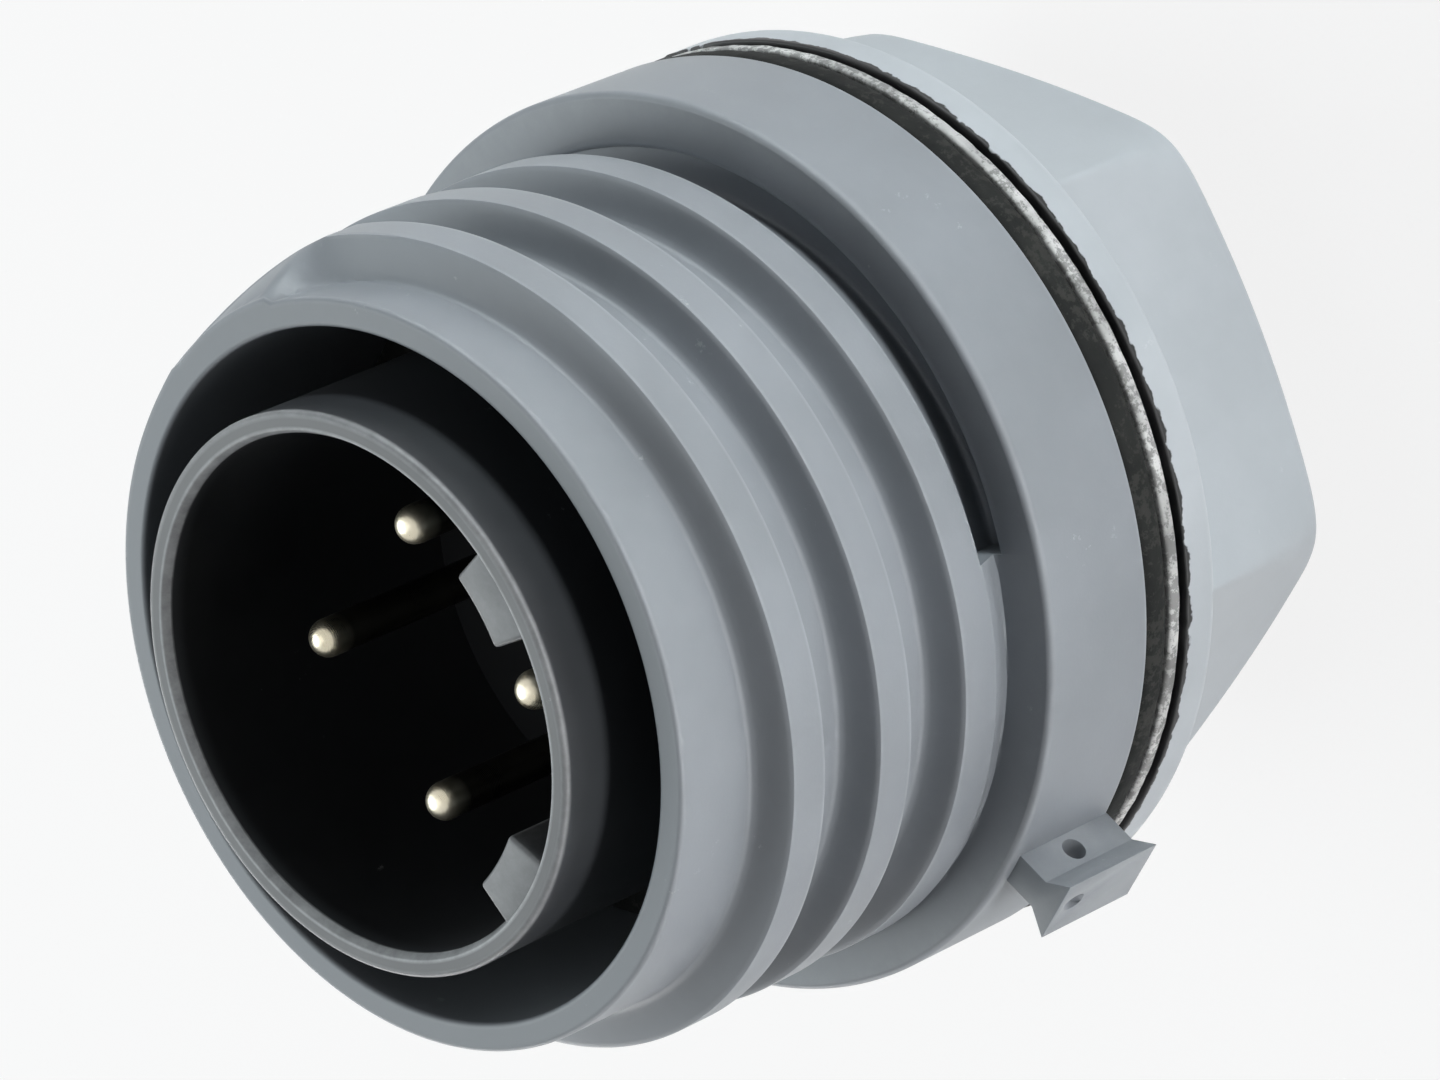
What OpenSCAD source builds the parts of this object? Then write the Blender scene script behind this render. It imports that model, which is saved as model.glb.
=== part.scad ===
// Sealed panel-mount circular power connector with four male contacts.
// Millimetres. +Z is the mating axis and points out of the front. The origin is on that axis,
// in the rear face of the flange, where the panel gasket seats.

/* [Threaded shell] */
// Inside diameter of the front ring
shell_bore_d = 36; // [34:0.5:36.5]
// Diameter at the root of the coarse thread
thread_root_d = 39; // [38.5:0.1:40]
// Diameter over the crests of the coarse thread
thread_crest_d = 43.4; // [42:0.1:44.5]
// Height of the front ring above the flange's rear face
shell_h = 28.9; // [27:0.1:32]
// Depth of the annular plug space below the front ring
plug_depth = 18.9; // [15:0.1:20]
// Rounding on the lips of the front ring
ring_lip_r = 0.25; // [0.1:0.05:0.5]

/* [Coarse thread] */
// Axial distance between neighbouring crests
thread_pitch = 6.2; // [5.6:0.1:6.6]
// Width of the flat crest
thread_crest_w = 2.3; // [1.6:0.1:2.8]
// Slope of the flanks, measured from a plane square to the axis
thread_flank = 13; // [5:1:25]
// Fillet between flank and root
thread_root_r = 0.7; // [0.3:0.1:1]
// Rounding of the crest's edges
thread_edge_r = 0.3; // [0.1:0.05:0.5]
// Azimuth at which the ridge starts, behind the front ring
thread_start = 2; // [-180:0.1:180]
// Distance from the front ring to the middle of the ridge where it starts
thread_lead_in = 4.1; // [3.6:0.1:5]
// Turn over which the ridge rises to its full height
thread_rise = 32; // [10:1:45]
// Turn from the ridge's start over which its front stays flush with the front ring
nose_turn = 24; // [15:1:40]
// Turn over which the gap between the front ring and the ridge then opens
nose_open = 22; // [10:1:40]
// Azimuth of the square end of the last groove
groove_end = -126; // [-180:1:180]
// Turn that the filled end of the last groove takes up
groove_fill = 125; // [90:5:140]

/* [Flange] */
// Diameter of the flange
flange_d = 48; // [46:0.5:52]
// Thickness of the flange
flange_t = 7.3; // [5:0.1:9]
// Fillet between the flange and the thread
flange_fillet = 0.4; // [0.3:0.1:1.6]
// Rounding of the flange's front edge
flange_edge_r = 0.35; // [0.1:0.05:0.8]

/* [Tether lug] */
// Azimuth of the lug
lug_azimuth = -170.2; // [-180:0.1:180]
// Width of the lug's stem
lug_stem_w = 1.9; // [1.5:0.1:3]
// Height of the stem above the flange
lug_stem_h = 1.9; // [1.7:0.1:3]
// Width over the lips of the lug
lug_lip_w = 3.9; // [3:0.1:6]
// Height of the lug above the flange
lug_h = 3.2; // [2.8:0.1:5]
// Length of the lug along the axis
lug_l = 6.6; // [4:0.1:7]
// Diameter of the cross hole in the stem
lug_hole_d = 1.3; // [0.8:0.1:1.5]
// Height of that hole above the flange's rear face
lug_hole_z = 3.5; // [2.5:0.1:4]

/* [Rear barrel] */
// Diameter over the fine rear thread
barrel_d = 32; // [31:0.5:34]
// Inside diameter of the barrel
barrel_bore_d = 27.2; // [26:0.1:28]
// Length of the barrel behind the flange
barrel_l = 19.5; // [18.5:0.5:24]
// Chamfer at the barrel's rear end
barrel_chamfer = 0.8; // [0.3:0.1:1.2]

/* [Pin carrier] */
// Outside diameter of the thin shroud round the contacts
shroud_d = 29.2; // [28:0.1:30.5]
// Wall of the shroud
shroud_wall = 1.2; // [0.8:0.1:1.5]
// Distance that the shroud stands out of the front ring
shroud_proud = 2.85; // [1:0.05:5]
// Chamfer inside the shroud's rim
shroud_chamfer = 0.4; // [0.1:0.05:0.6]
// Thickness of the carrier's seating flange
seat_t = 2.5; // [1.5:0.1:4]
// Height of the keys inside the shroud
key_h = 2.15; // [1:0.05:3]
// Turn that each key takes up
key_turn = 20; // [10:1:30]
// Azimuths of the two keys
key_azimuths = [-102, -173];
// Width of the carrier's rear shoulder, on which the clip bears
shoulder_w = 1.15; // [1:0.05:1.6]
// Distance that the terminal block stands out behind the barrel
tail_l = 4; // [4:0.5:12]
// Distance from the barrel's rear end to the carrier's rear shoulder
shoulder_inset = 3; // [2.8:0.1:4]
// Chamfer at the rear end of the terminal block
tail_chamfer = 0.5; // [0.2:0.1:1]
// Diameter of the blind core in the rear of the terminal block
core_d = 5; // [3:0.5:6]
// Depth of that core
core_depth = 20; // [10:1:28]

/* [Contacts] */
// Diameter of the contact pins
pin_d = 2; // [1.6:0.1:2.5]
// Diameter of the contacts' shanks, held in the carrier
shank_d = 2.6; // [2.2:0.1:3]
// Diameter of the circle on which the pins stand
pin_pcd = 14.6; // [13:0.1:15]
// Azimuth of the first pin
pin_azimuth = 45; // [0:1:90]
// Distance from the shroud's rim to the pin tips
pin_recess = 4.4; // [2:0.1:8]
// Diameter of the screw terminal on the rear of each contact
terminal_d = 6; // [5:0.1:6.5]
// Length of the screw terminal
terminal_l = 16; // [14:0.5:18]
// Distance from the block's rear face to the terminal's end
terminal_recess = 0.3; // [0.1:0.1:0.5]
// Diameter of the wire hole
wire_d = 3.2; // [2:0.1:3.6]
// Depth of the wire hole
wire_depth = 10; // [8:0.5:12]
// Diameter of the terminal screws
screw_d = 2.4; // [2:0.1:2.5]
// Distance from the block's rear face to the screws' axes
screw_inset = 2.1; // [2.1:0.1:2.5]
// Depth at which the screws sit below the block's side
screw_recess = 0.5; // [0.2:0.1:1]
// Width of the screws' slots
screw_slot_w = 0.6; // [0.4:0.1:0.8]
// Depth of the screws' slots
screw_slot_depth = 0.8; // [0.4:0.1:1]

/* [Seals] */
// Thickness of the panel gasket
gasket_t = 1.95; // [1:0.05:3]
// Thickness of the slip washer
washer_t = 0.75; // [0.5:0.05:1.5]
// Distance that the slip washer's rim stands back from the flange's
washer_inset = 0.1; // [0:0.05:0.5]
// Thickness of the flat seal at the bottom of the plug space
plug_seal_t = 1.6; // [1:0.1:3]
// Section of the O-ring round the carrier
oring_d = 1.6; // [1:0.1:2]
// Height of the O-ring above the flange's rear face
oring_z = 4; // [2:0.5:6]
// Thickness of the clip that holds the carrier
clip_t = 1.2; // [0.8:0.1:1.6]
// Depth to which the clip sits in the barrel's groove
clip_bite = 0.7; // [0.4:0.1:1]
// Turn left open between the ends of the clip
clip_gap = 40; // [20:5:90]

/* [Nut] */
// Width across the nut's flats
nut_af = 38.4; // [37.5:0.1:41]
// Length of the nut
nut_h = 15.1; // [8:0.1:16]
// Thickness of the collar at its rim
nut_collar_t = 1.9; // [1:0.1:4]
// Height of the raised seat on the collar's face
nut_seat_h = 0.55; // [0.3:0.05:1]
// Distance from the collar's rim to that seat
nut_seat_inset = 1.7; // [1:0.1:2.5]
// Diameter of the flat rear face inside the corner chamfer
nut_face_d = 36.2; // [35:0.1:38.2]
// Slope of the chamfer on the nut's rear corners
nut_chamfer = 20; // [15:1:40]
// Amount by which the nut's corners are worn back where that chamfer meets them
nut_corner_drop = 0.9; // [0.3:0.1:1.5]
// Slope of the taper over the nut's corners, measured from the axis
nut_taper = 6.5; // [3:0.5:12]
// Chamfer at both ends of the nut's bore
nut_mouth = 0.8; // [0.3:0.1:1.2]
// Rounding of the collar's rim
nut_collar_r = 0.3; // [0.1:0.05:0.6]
// Azimuth of one corner of the nut
nut_azimuth = -83.3; // [-90:0.1:90]

/* [Fits] */
// Radial clearance of pieces that turn or slide on each other
running_gap = 0.06; // [0.02:0.01:0.1]
// Radial clearance of pieces that are pushed together
push_gap = 0.05; // [0.02:0.01:0.1]
// Radial clearance of loose rings and access holes
loose_gap = 0.2; // [0.1:0.05:0.3]
// Axial gap between stacked pieces that come apart
stack_gap = 0.05; // [0.02:0.01:0.1]

/* [Hidden] */
$fn = 96;

// Radii
bore_r = shell_bore_d / 2;
root_r = thread_root_d / 2;
crest_r = thread_crest_d / 2;
flange_r = flange_d / 2;
barrel_r = barrel_d / 2;
barrel_bore_r = barrel_bore_d / 2;
shroud_r = shroud_d / 2;
shroud_in_r = shroud_r - shroud_wall;
seat_r = bore_r - loose_gap;
spigot_r = barrel_bore_r - push_gap;
tail_r = spigot_r - shoulder_w;
pin_r = pin_d / 2;
shank_r = shank_d / 2;
pin_circle_r = pin_pcd / 2;
terminal_r = terminal_d / 2;
wire_r = wire_d / 2;
screw_r = screw_d / 2;
oring_r = oring_d / 2;
oring_ring_r = spigot_r - oring_r;
oring_groove_r = oring_ring_r - oring_r - push_gap;
clip_r = barrel_bore_r + clip_bite;
clip_in_r = tail_r + loose_gap;
nut_bore_r = barrel_r + running_gap;
nut_flat_r = nut_af / 2;
nut_corner_r = nut_flat_r / cos(30);
// The gasket and the nut's collar reach as far out as the flange
gasket_r = flange_r;
nut_collar_rad = flange_r;
nut_seat_r = nut_collar_rad - nut_seat_inset;
washer_r = flange_r - washer_inset;

// Heights
floor_z = shell_h - plug_depth;
seat_z = floor_z + seat_t;
rim_z = shell_h + shroud_proud;
tip_z = rim_z - pin_recess;
shoulder_z = -barrel_l + shoulder_inset;
base_z = -barrel_l - tail_l;
terminal_end_z = base_z + terminal_recess;
terminal_top_z = terminal_end_z + terminal_l;
screw_z = base_z + screw_inset;
clip_z = shoulder_z - stack_gap - clip_t;
washer_z = -gasket_t - stack_gap - washer_t;
nut_z = washer_z - stack_gap;
nut_end_z = nut_z - nut_h;
collar_front_z = nut_z - nut_seat_h;
collar_rear_z = collar_front_z - nut_collar_t;
oring_groove_w = oring_d + 2 * loose_gap;
clip_groove_w = clip_t + 2 * stack_gap;

// Overlap of cuts past a face, and of added material into the wall that carries it
cut = 1;
sink = 0.4;
edge_chamfer = 0.3;
edge_clear = 0.1;

plastic = [0.36, 0.38, 0.41];
carrier_plastic = [0.27, 0.28, 0.30];
rubber = [0.07, 0.07, 0.07];
nickel = [0.80, 0.78, 0.72];
steel = [0.62, 0.63, 0.65];
nylon = [0.86, 0.86, 0.83];

// Profile of the coarse thread: half width at the root, and tangent length of its rounds
ridge_root_w = thread_crest_w / 2 + (crest_r - root_r) * tan(thread_flank);
ridge_tangent = tan((90 - thread_flank) / 2);
fillet_z = -ridge_root_w - thread_root_r * ridge_tangent;
// The fillet leaves the root at this slope, and its foot runs on straight below the root
foot_slope = 30;
foot_rise = sink + thread_root_r * (1 - cos(foot_slope));
ridge_foot_z = fillet_z + thread_root_r * sin(foot_slope) - foot_rise / tan(foot_slope);
ridge_step = 7.5;
nose_step = 4;
ridge_first_rise = 0.08;
// Turn of the helix at which the ridge's crest has run into the flange
sunk_turn = 360 * (shell_h - thread_lead_in + thread_crest_w / 2 - flange_t) / thread_pitch;
// Turn of the helix at the square end of its last groove
groove_first_turn = thread_start - groove_end;
groove_passes = floor((sunk_turn - groove_first_turn - groove_fill) / 360);
groove_turn = groove_first_turn + 360 * groove_passes;
// The last groove runs into the flange, in front of the ridge that lies buried there
pocket_rise = flange_fillet + edge_clear;
pocket_first = sunk_turn + ridge_step;
pocket_last = groove_turn + 360;
// The ridge's sweep ends in the plastic behind that groove
ridge_rings = ceil(pocket_last / ridge_step);

// Points of an arc of radius r about c, from angle a to angle b in n steps
function arc(c, r, a, b, n) =
    [for (i = [0:n]) let (t = a + (b - a) * i / n) c + r * [cos(t), sin(t)]];

// Height of the middle of the ridge after a given turn
function ridge_z(turn) = shell_h - thread_lead_in - thread_pitch * turn / 360;

// Half of the ridge's profile as [axial, radial], from below the root up to the crest
function ridge_half() = concat(
    [[ridge_foot_z, root_r - sink]],
    arc([fillet_z, root_r + thread_root_r], thread_root_r, foot_slope - 90, -thread_flank, 3),
    arc([-thread_crest_w / 2 + thread_edge_r * ridge_tangent, crest_r - thread_edge_r],
        thread_edge_r, 180 - thread_flank, 90, 2)
);
function mirrored(half) = [for (i = [len(half) - 1:-1:0]) [-half[i][0], half[i][1]]];
ridge_profile = concat(ridge_half(), mirrored(ridge_half()));

// Points given as [radius, height], set at the azimuth that the helix reaches after a given turn
function at_turn(turn, profile) =
    let (a = thread_start - turn)
    [for (p = profile) [p[0] * cos(a), p[0] * sin(a), p[1]]];

// Radius after a given turn, low at first so that the plug's thread finds the ridge
function risen(turn, r) =
    let (rise = min(1, ridge_first_rise + turn / thread_rise), low = root_r - sink)
    low + (r - low) * rise;

// The ridge's profile after a given turn
function ridge_ring(turn) =
    at_turn(turn, [for (p = ridge_profile) [risen(turn, p[1]), ridge_z(turn) - p[0]]]);

// Height of the nose's front after a given turn: flush with the ring, then back to the ridge
function nose_z(turn) =
    let (t = max(0, min(1, (turn - nose_turn) / nose_open)), ease = t * t * (3 - 2 * t))
    shell_h - (shell_h - ridge_z(turn)) * ease;

// Section of the nose that fills the gap in front of the ridge where the ridge starts
function nose_ring(turn) =
    let (r = risen(turn, crest_r - edge_clear), low = root_r - sink)
    at_turn(turn, [[low, nose_z(turn)], [r, nose_z(turn)], [r, ridge_z(turn) - edge_clear], [low, ridge_z(turn) - edge_clear]]);

// Section of the last groove below the flange's face
function pocket_ring(turn) =
    let (outer = crest_r - thread_edge_r, inner = root_r - edge_clear, top = flange_t + pocket_rise,
         low = ridge_z(turn) + thread_crest_w / 2)
    at_turn(turn, [[inner, top], [outer, top], [outer, low], [inner, low + (outer - inner) * tan(thread_flank)]]);

// Solid through a list of rings that all have the same number of points
module swept(rings) {
    n = len(rings[0]);
    last = len(rings) - 1;
    sides = [for (i = [0:last - 1]) for (j = [0:n - 1])
        let (k = (j + 1) % n)
        [i * n + j, i * n + k, (i + 1) * n + k, (i + 1) * n + j]];
    front_cap = [for (j = [n - 1:-1:0]) j];
    rear_cap = [for (j = [0:n - 1]) last * n + j];
    polyhedron([for (ring = rings) each ring], concat(sides, [front_cap, rear_cap]), convexity = 10);
}

// Coarse right-hand thread for the plug's coupling ring, swept along its helix
module coarse_thread() {
    swept([for (i = [0:ridge_rings]) ridge_ring(i * ridge_step)]);
}

// Nose of the thread, flush with the front ring where the ridge starts
module thread_nose() {
    rings = ceil((nose_turn + nose_open) / nose_step);
    swept([for (i = [0:rings]) nose_ring(i * (nose_turn + nose_open) / rings)]);
}

// Cut that lets the last groove run into the flange, up to its square end
module groove_pocket() {
    rings = ceil((pocket_last - pocket_first) / ridge_step);
    swept([for (i = [0:rings]) pocket_ring(pocket_first + i * (pocket_last - pocket_first) / rings)]);
}

// Plastic that closes the last groove behind its square end, up to the middle of the ridge
module groove_filler() {
    top_z = ridge_z(groove_turn + groove_fill / 2);
    rotate([0, 0, groove_end - groove_fill])
        rotate_extrude(angle = groove_fill)
            translate([root_r - sink, flange_t - sink])
                square([crest_r - thread_edge_r - root_r + sink, top_z - flange_t + sink]);
}

// Half section of the shell, the flange and the rear barrel with its clip groove
module housing_section() {
    groove_low = clip_z - stack_gap;
    groove_r = clip_r + push_gap;
    polygon(concat(
        [[barrel_bore_r, -barrel_l], [barrel_r - barrel_chamfer, -barrel_l]],
        [[barrel_r, -barrel_l + barrel_chamfer], [barrel_r, 0], [flange_r, 0]],
        arc([flange_r - flange_edge_r, flange_t - flange_edge_r], flange_edge_r, 0, 90, 4),
        arc([root_r + flange_fillet, flange_t + flange_fillet], flange_fillet, 270, 180, 6),
        arc([root_r - ring_lip_r, shell_h - ring_lip_r], ring_lip_r, 0, 90, 4),
        arc([bore_r + ring_lip_r, shell_h - ring_lip_r], ring_lip_r, 90, 180, 4),
        [[bore_r, floor_z], [barrel_bore_r, floor_z]],
        [[barrel_bore_r, groove_low + clip_groove_w], [groove_r, groove_low + clip_groove_w]],
        [[groove_r, groove_low], [barrel_bore_r, groove_low]]
    ));
}

// Dovetail lug on the flange's rim, drilled across for a tether
module tether_lug() {
    rotate([0, 0, lug_azimuth])
        difference() {
            linear_extrude(lug_l)
                polygon([
                    [flange_r - cut, -lug_stem_w / 2], [flange_r + lug_stem_h, -lug_stem_w / 2],
                    [flange_r + lug_h, -lug_lip_w / 2], [flange_r + lug_h, lug_lip_w / 2],
                    [flange_r + lug_stem_h, lug_stem_w / 2], [flange_r - cut, lug_stem_w / 2]
                ]);
            translate([flange_r + lug_stem_h / 2, 0, lug_hole_z])
                rotate([90, 0, 0])
                    cylinder(d = lug_hole_d, h = lug_lip_w, center = true);
        }
}

// Moulded body: threaded shell, flange with lug, and rear barrel
module housing() {
    color(plastic)
        union() {
            difference() {
                rotate_extrude() housing_section();
                groove_pocket();
            }
            coarse_thread();
            thread_nose();
            groove_filler();
            tether_lug();
        }
}

// Half section of the carrier: shroud, seating flange, spigot with O-ring groove, terminal block
module carrier_section() {
    groove_low = oring_z - oring_groove_w / 2;
    polygon(concat(
        [[0, base_z], [tail_r - tail_chamfer, base_z], [tail_r, base_z + tail_chamfer]],
        [[tail_r, shoulder_z], [spigot_r, shoulder_z]],
        [[spigot_r, groove_low], [oring_groove_r, groove_low]],
        [[oring_groove_r, groove_low + oring_groove_w], [spigot_r, groove_low + oring_groove_w]],
        [[spigot_r, floor_z], [seat_r, floor_z], [seat_r, seat_z], [shroud_r, seat_z]],
        arc([shroud_r - ring_lip_r, rim_z - ring_lip_r], ring_lip_r, 0, 90, 4),
        [[shroud_in_r + shroud_chamfer, rim_z], [shroud_in_r, rim_z - shroud_chamfer]],
        [[shroud_in_r, seat_z], [0, seat_z]]
    ));
}

// Key along the inside of the shroud
module key(azimuth) {
    rotate([0, 0, azimuth - key_turn / 2])
        rotate_extrude(angle = key_turn)
            translate([shroud_in_r - key_h, seat_z - sink])
                square([key_h + sink, rim_z - shroud_chamfer - seat_z + sink]);
}

// Places its children at contact i, with +X pointing away from the connector's axis
module at_contact(i) {
    rotate([0, 0, pin_azimuth + 90 * (i - 1)])
        translate([pin_circle_r, 0, 0])
            children();
}

// Cylinder along +X from x = 0 at the height of the terminal screws
module screw_bore(r, length) {
    translate([0, 0, screw_z])
        rotate([0, 90, 0])
            cylinder(r = r, h = length);
}

// Moulded insert that holds the contacts: keyed shroud in front, terminal block behind
module pin_carrier() {
    color(carrier_plastic)
        difference() {
            union() {
                rotate_extrude() carrier_section();
                for (azimuth = key_azimuths) key(azimuth);
            }
            for (i = [1:4]) at_contact(i) {
                translate([0, 0, base_z - cut])
                    cylinder(r = terminal_r + push_gap, h = terminal_top_z + stack_gap - base_z + cut);
                translate([0, 0, terminal_top_z])
                    cylinder(r = shank_r + push_gap, h = seat_z - terminal_top_z + cut);
                screw_bore(screw_r + loose_gap, tail_r);
            }
            translate([0, 0, base_z - cut])
                cylinder(d = core_d, h = core_depth + cut);
        }
}

// Turned contact: round-nosed pin in front, shank in the carrier, screw terminal behind
module contact_pin(i) {
    color(nickel)
        at_contact(i)
            difference() {
                rotate_extrude()
                    polygon(concat(
                        [[0, terminal_end_z], [terminal_r - edge_chamfer, terminal_end_z]],
                        [[terminal_r, terminal_end_z + edge_chamfer], [terminal_r, terminal_top_z]],
                        [[shank_r, terminal_top_z], [shank_r, seat_z], [pin_r, seat_z]],
                        arc([0, tip_z - pin_r], pin_r, 0, 90, 8)
                    ));
                translate([0, 0, terminal_end_z - cut])
                    cylinder(r = wire_r, h = wire_depth + cut);
                screw_bore(screw_r + push_gap, terminal_r + cut);
            }
}

// Slotted clamp screw, backed off until it clears the wire hole
module terminal_screw(i) {
    head_x = tail_r - screw_recess - pin_circle_r;
    color(steel)
        at_contact(i)
            difference() {
                translate([wire_r, 0, 0])
                    screw_bore(screw_r, head_x - wire_r);
                translate([head_x - screw_slot_depth, -screw_slot_w / 2, screw_z - screw_d])
                    cube([screw_slot_depth + cut, screw_slot_w, 2 * screw_d]);
            }
}

// Flat ring between two radii, from height z upwards
module ring(inner_r, outer_r, z, height) {
    translate([0, 0, z])
        rotate_extrude()
            translate([inner_r, 0])
                square([outer_r - inner_r, height]);
}

// Rubber face seal at the bottom of the plug space
module plug_seal() {
    color(rubber) ring(shroud_r + loose_gap, seat_r, seat_z, plug_seal_t);
}

// O-ring that seals the carrier in the barrel
module carrier_o_ring() {
    color(rubber)
        translate([0, 0, oring_z])
            rotate_extrude()
                translate([oring_ring_r, 0])
                    circle(r = oring_r);
}

// Open spring ring that holds the carrier in the barrel
module carrier_clip() {
    color(steel)
        rotate([0, 0, clip_gap / 2])
            translate([0, 0, clip_z])
                rotate_extrude(angle = 360 - clip_gap)
                    translate([clip_in_r, 0])
                        square([clip_r - clip_in_r, clip_t]);
}

// Rubber gasket behind the flange
module panel_gasket() {
    color(rubber) ring(barrel_r + loose_gap, gasket_r, -gasket_t, gasket_t);
}

// Thin nylon washer on which the nut turns
module slip_washer() {
    color(nylon) ring(barrel_r + loose_gap, washer_r, washer_z, washer_t);
}

// Half section of the nut's collar and raised seat
module collar_section() {
    polygon(concat(
        [[0, collar_rear_z]],
        arc([nut_collar_rad - nut_collar_r, collar_rear_z + nut_collar_r], nut_collar_r, 270, 360, 4),
        arc([nut_collar_rad - nut_collar_r, collar_front_z - nut_collar_r], nut_collar_r, 0, 90, 4),
        [[nut_seat_r, collar_front_z], [nut_seat_r, nut_z], [0, nut_z]]
    ));
}

// Half section of the turned chamfer and taper that trim the hexagon's corners
module chamfer_section() {
    rear_r = nut_corner_r - nut_corner_drop;
    corner_z = nut_end_z + (rear_r - nut_face_d / 2) * tan(nut_chamfer);
    front_r = rear_r + (collar_front_z - corner_z) * tan(nut_taper);
    polygon([
        [0, nut_end_z], [nut_face_d / 2, nut_end_z], [rear_r, corner_z],
        [front_r, collar_front_z], [0, collar_front_z]
    ]);
}

// Bore of the nut with a chamfered mouth at each end
module nut_bore_section() {
    polygon([
        [0, nut_end_z - cut], [nut_bore_r + nut_mouth + cut, nut_end_z - cut],
        [nut_bore_r, nut_end_z + nut_mouth], [nut_bore_r, nut_z - nut_mouth],
        [nut_bore_r + nut_mouth + cut, nut_z + cut], [0, nut_z + cut]
    ]);
}

// Hexagon nut with a round collar
module hex_nut() {
    color(plastic)
        difference() {
            union() {
                rotate_extrude() collar_section();
                intersection() {
                    translate([0, 0, nut_end_z])
                        rotate([0, 0, nut_azimuth])
                            cylinder(r = nut_corner_r, h = collar_front_z - nut_end_z, $fn = 6);
                    rotate_extrude() chamfer_section();
                }
            }
            rotate_extrude() nut_bore_section();
        }
}

housing();
pin_carrier();
contact_pin(1);  // contact_pin_1
contact_pin(2);  // contact_pin_2
contact_pin(3);  // contact_pin_3
contact_pin(4);  // contact_pin_4
terminal_screw(1);  // terminal_screw_1
terminal_screw(2);  // terminal_screw_2
terminal_screw(3);  // terminal_screw_3
terminal_screw(4);  // terminal_screw_4
plug_seal();
carrier_o_ring();
carrier_clip();
panel_gasket();
slip_washer();
hex_nut();
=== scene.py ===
# %% [markdown]
# # A sealed circular power connector
# The object is a panel connector: a threaded plastic shell with a flange, a keyed shroud with
# four contact pins inside it, a rubber gasket, a thin washer and a hexagon nut with a collar.
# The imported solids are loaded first. They are exact but plain, so this lesson builds a finer
# skin for every piece that shows and leaves the solids in place for the physics.

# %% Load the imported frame
import math
from types import SimpleNamespace

import bmesh
import bpy
import numpy as np
from mathutils import Matrix, Vector, noise


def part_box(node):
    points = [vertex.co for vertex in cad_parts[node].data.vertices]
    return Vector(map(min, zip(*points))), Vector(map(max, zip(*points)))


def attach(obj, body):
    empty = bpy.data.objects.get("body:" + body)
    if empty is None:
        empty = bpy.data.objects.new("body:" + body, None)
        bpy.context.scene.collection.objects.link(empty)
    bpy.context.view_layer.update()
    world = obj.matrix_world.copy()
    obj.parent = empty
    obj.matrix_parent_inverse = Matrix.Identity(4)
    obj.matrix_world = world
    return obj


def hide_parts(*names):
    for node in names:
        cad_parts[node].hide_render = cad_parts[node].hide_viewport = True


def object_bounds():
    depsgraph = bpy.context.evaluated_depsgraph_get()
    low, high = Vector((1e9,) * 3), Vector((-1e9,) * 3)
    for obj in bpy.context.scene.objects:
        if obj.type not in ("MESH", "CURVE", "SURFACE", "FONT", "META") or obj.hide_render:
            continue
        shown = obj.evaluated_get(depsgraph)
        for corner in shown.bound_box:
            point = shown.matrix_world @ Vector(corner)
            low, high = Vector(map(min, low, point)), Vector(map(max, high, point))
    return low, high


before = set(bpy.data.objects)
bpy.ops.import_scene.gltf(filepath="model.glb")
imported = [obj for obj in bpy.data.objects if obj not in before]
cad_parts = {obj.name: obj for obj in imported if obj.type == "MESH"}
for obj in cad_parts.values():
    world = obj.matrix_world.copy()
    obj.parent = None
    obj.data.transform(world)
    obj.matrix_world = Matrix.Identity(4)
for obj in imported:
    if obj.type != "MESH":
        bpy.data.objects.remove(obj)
cad_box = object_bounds()
scene = bpy.context.scene
scene.view_settings.view_transform = "Standard"
MM = 0.001


def placed(name, data):
    """Puts a new object with this data into the scene."""
    thing = bpy.data.objects.new(name, data)
    scene.collection.objects.link(thing)
    return thing


# %% [markdown]
# ## Camera
# The photograph looks into the shroud from the front left, and the connector lies on its side
# there, so the camera is rolled. Its place and its three directions come from fitting the
# circles of the ring, the flange and the nut. A long lens keeps the perspective mild.

# %% The photograph's viewpoint
CAMERA_AT = Vector((-94.126, -274.920, 263.955)) * MM
CAMERA_RIGHT = Vector((-0.5758, -0.4467, -0.6848)).normalized()
CAMERA_UP = Vector((0.7811, -0.5481, -0.2992)).normalized()
LENS_MM, SENSOR_MM = 190.0, 36.0
camera_back = CAMERA_RIGHT.cross(CAMERA_UP).normalized()
camera_up = camera_back.cross(CAMERA_RIGHT)

camera = placed("photo_camera", bpy.data.cameras.new("photo_camera"))
camera.matrix_world = Matrix.Translation(CAMERA_AT) @ Matrix(
    (CAMERA_RIGHT, camera_up, camera_back)
).transposed().to_4x4()
camera.data.lens = LENS_MM
camera.data.sensor_width = SENSOR_MM
scene.camera = camera
print("camera looks along", tuple(round(v, 3) for v in -camera_back))

# %% [markdown]
# ## Sizes
# Heights come from the boxes of the solids, so the skins stay on them. The sizes that no box
# can tell, such as the thread's pitch, repeat the source's values. Sizes of pieces are in
# millimetres and degrees, and turn into metres and radians only when a mesh is made. Five
# roundings, from crisp to round, serve for all edges that have none of their own.

# %% Sizes shared by several pieces
def foot_mm(node):
    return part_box(node)[0].z / MM


def top_mm(node):
    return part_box(node)[1].z / MM


def reach_mm(node):
    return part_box(node)[1].x / MM


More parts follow.
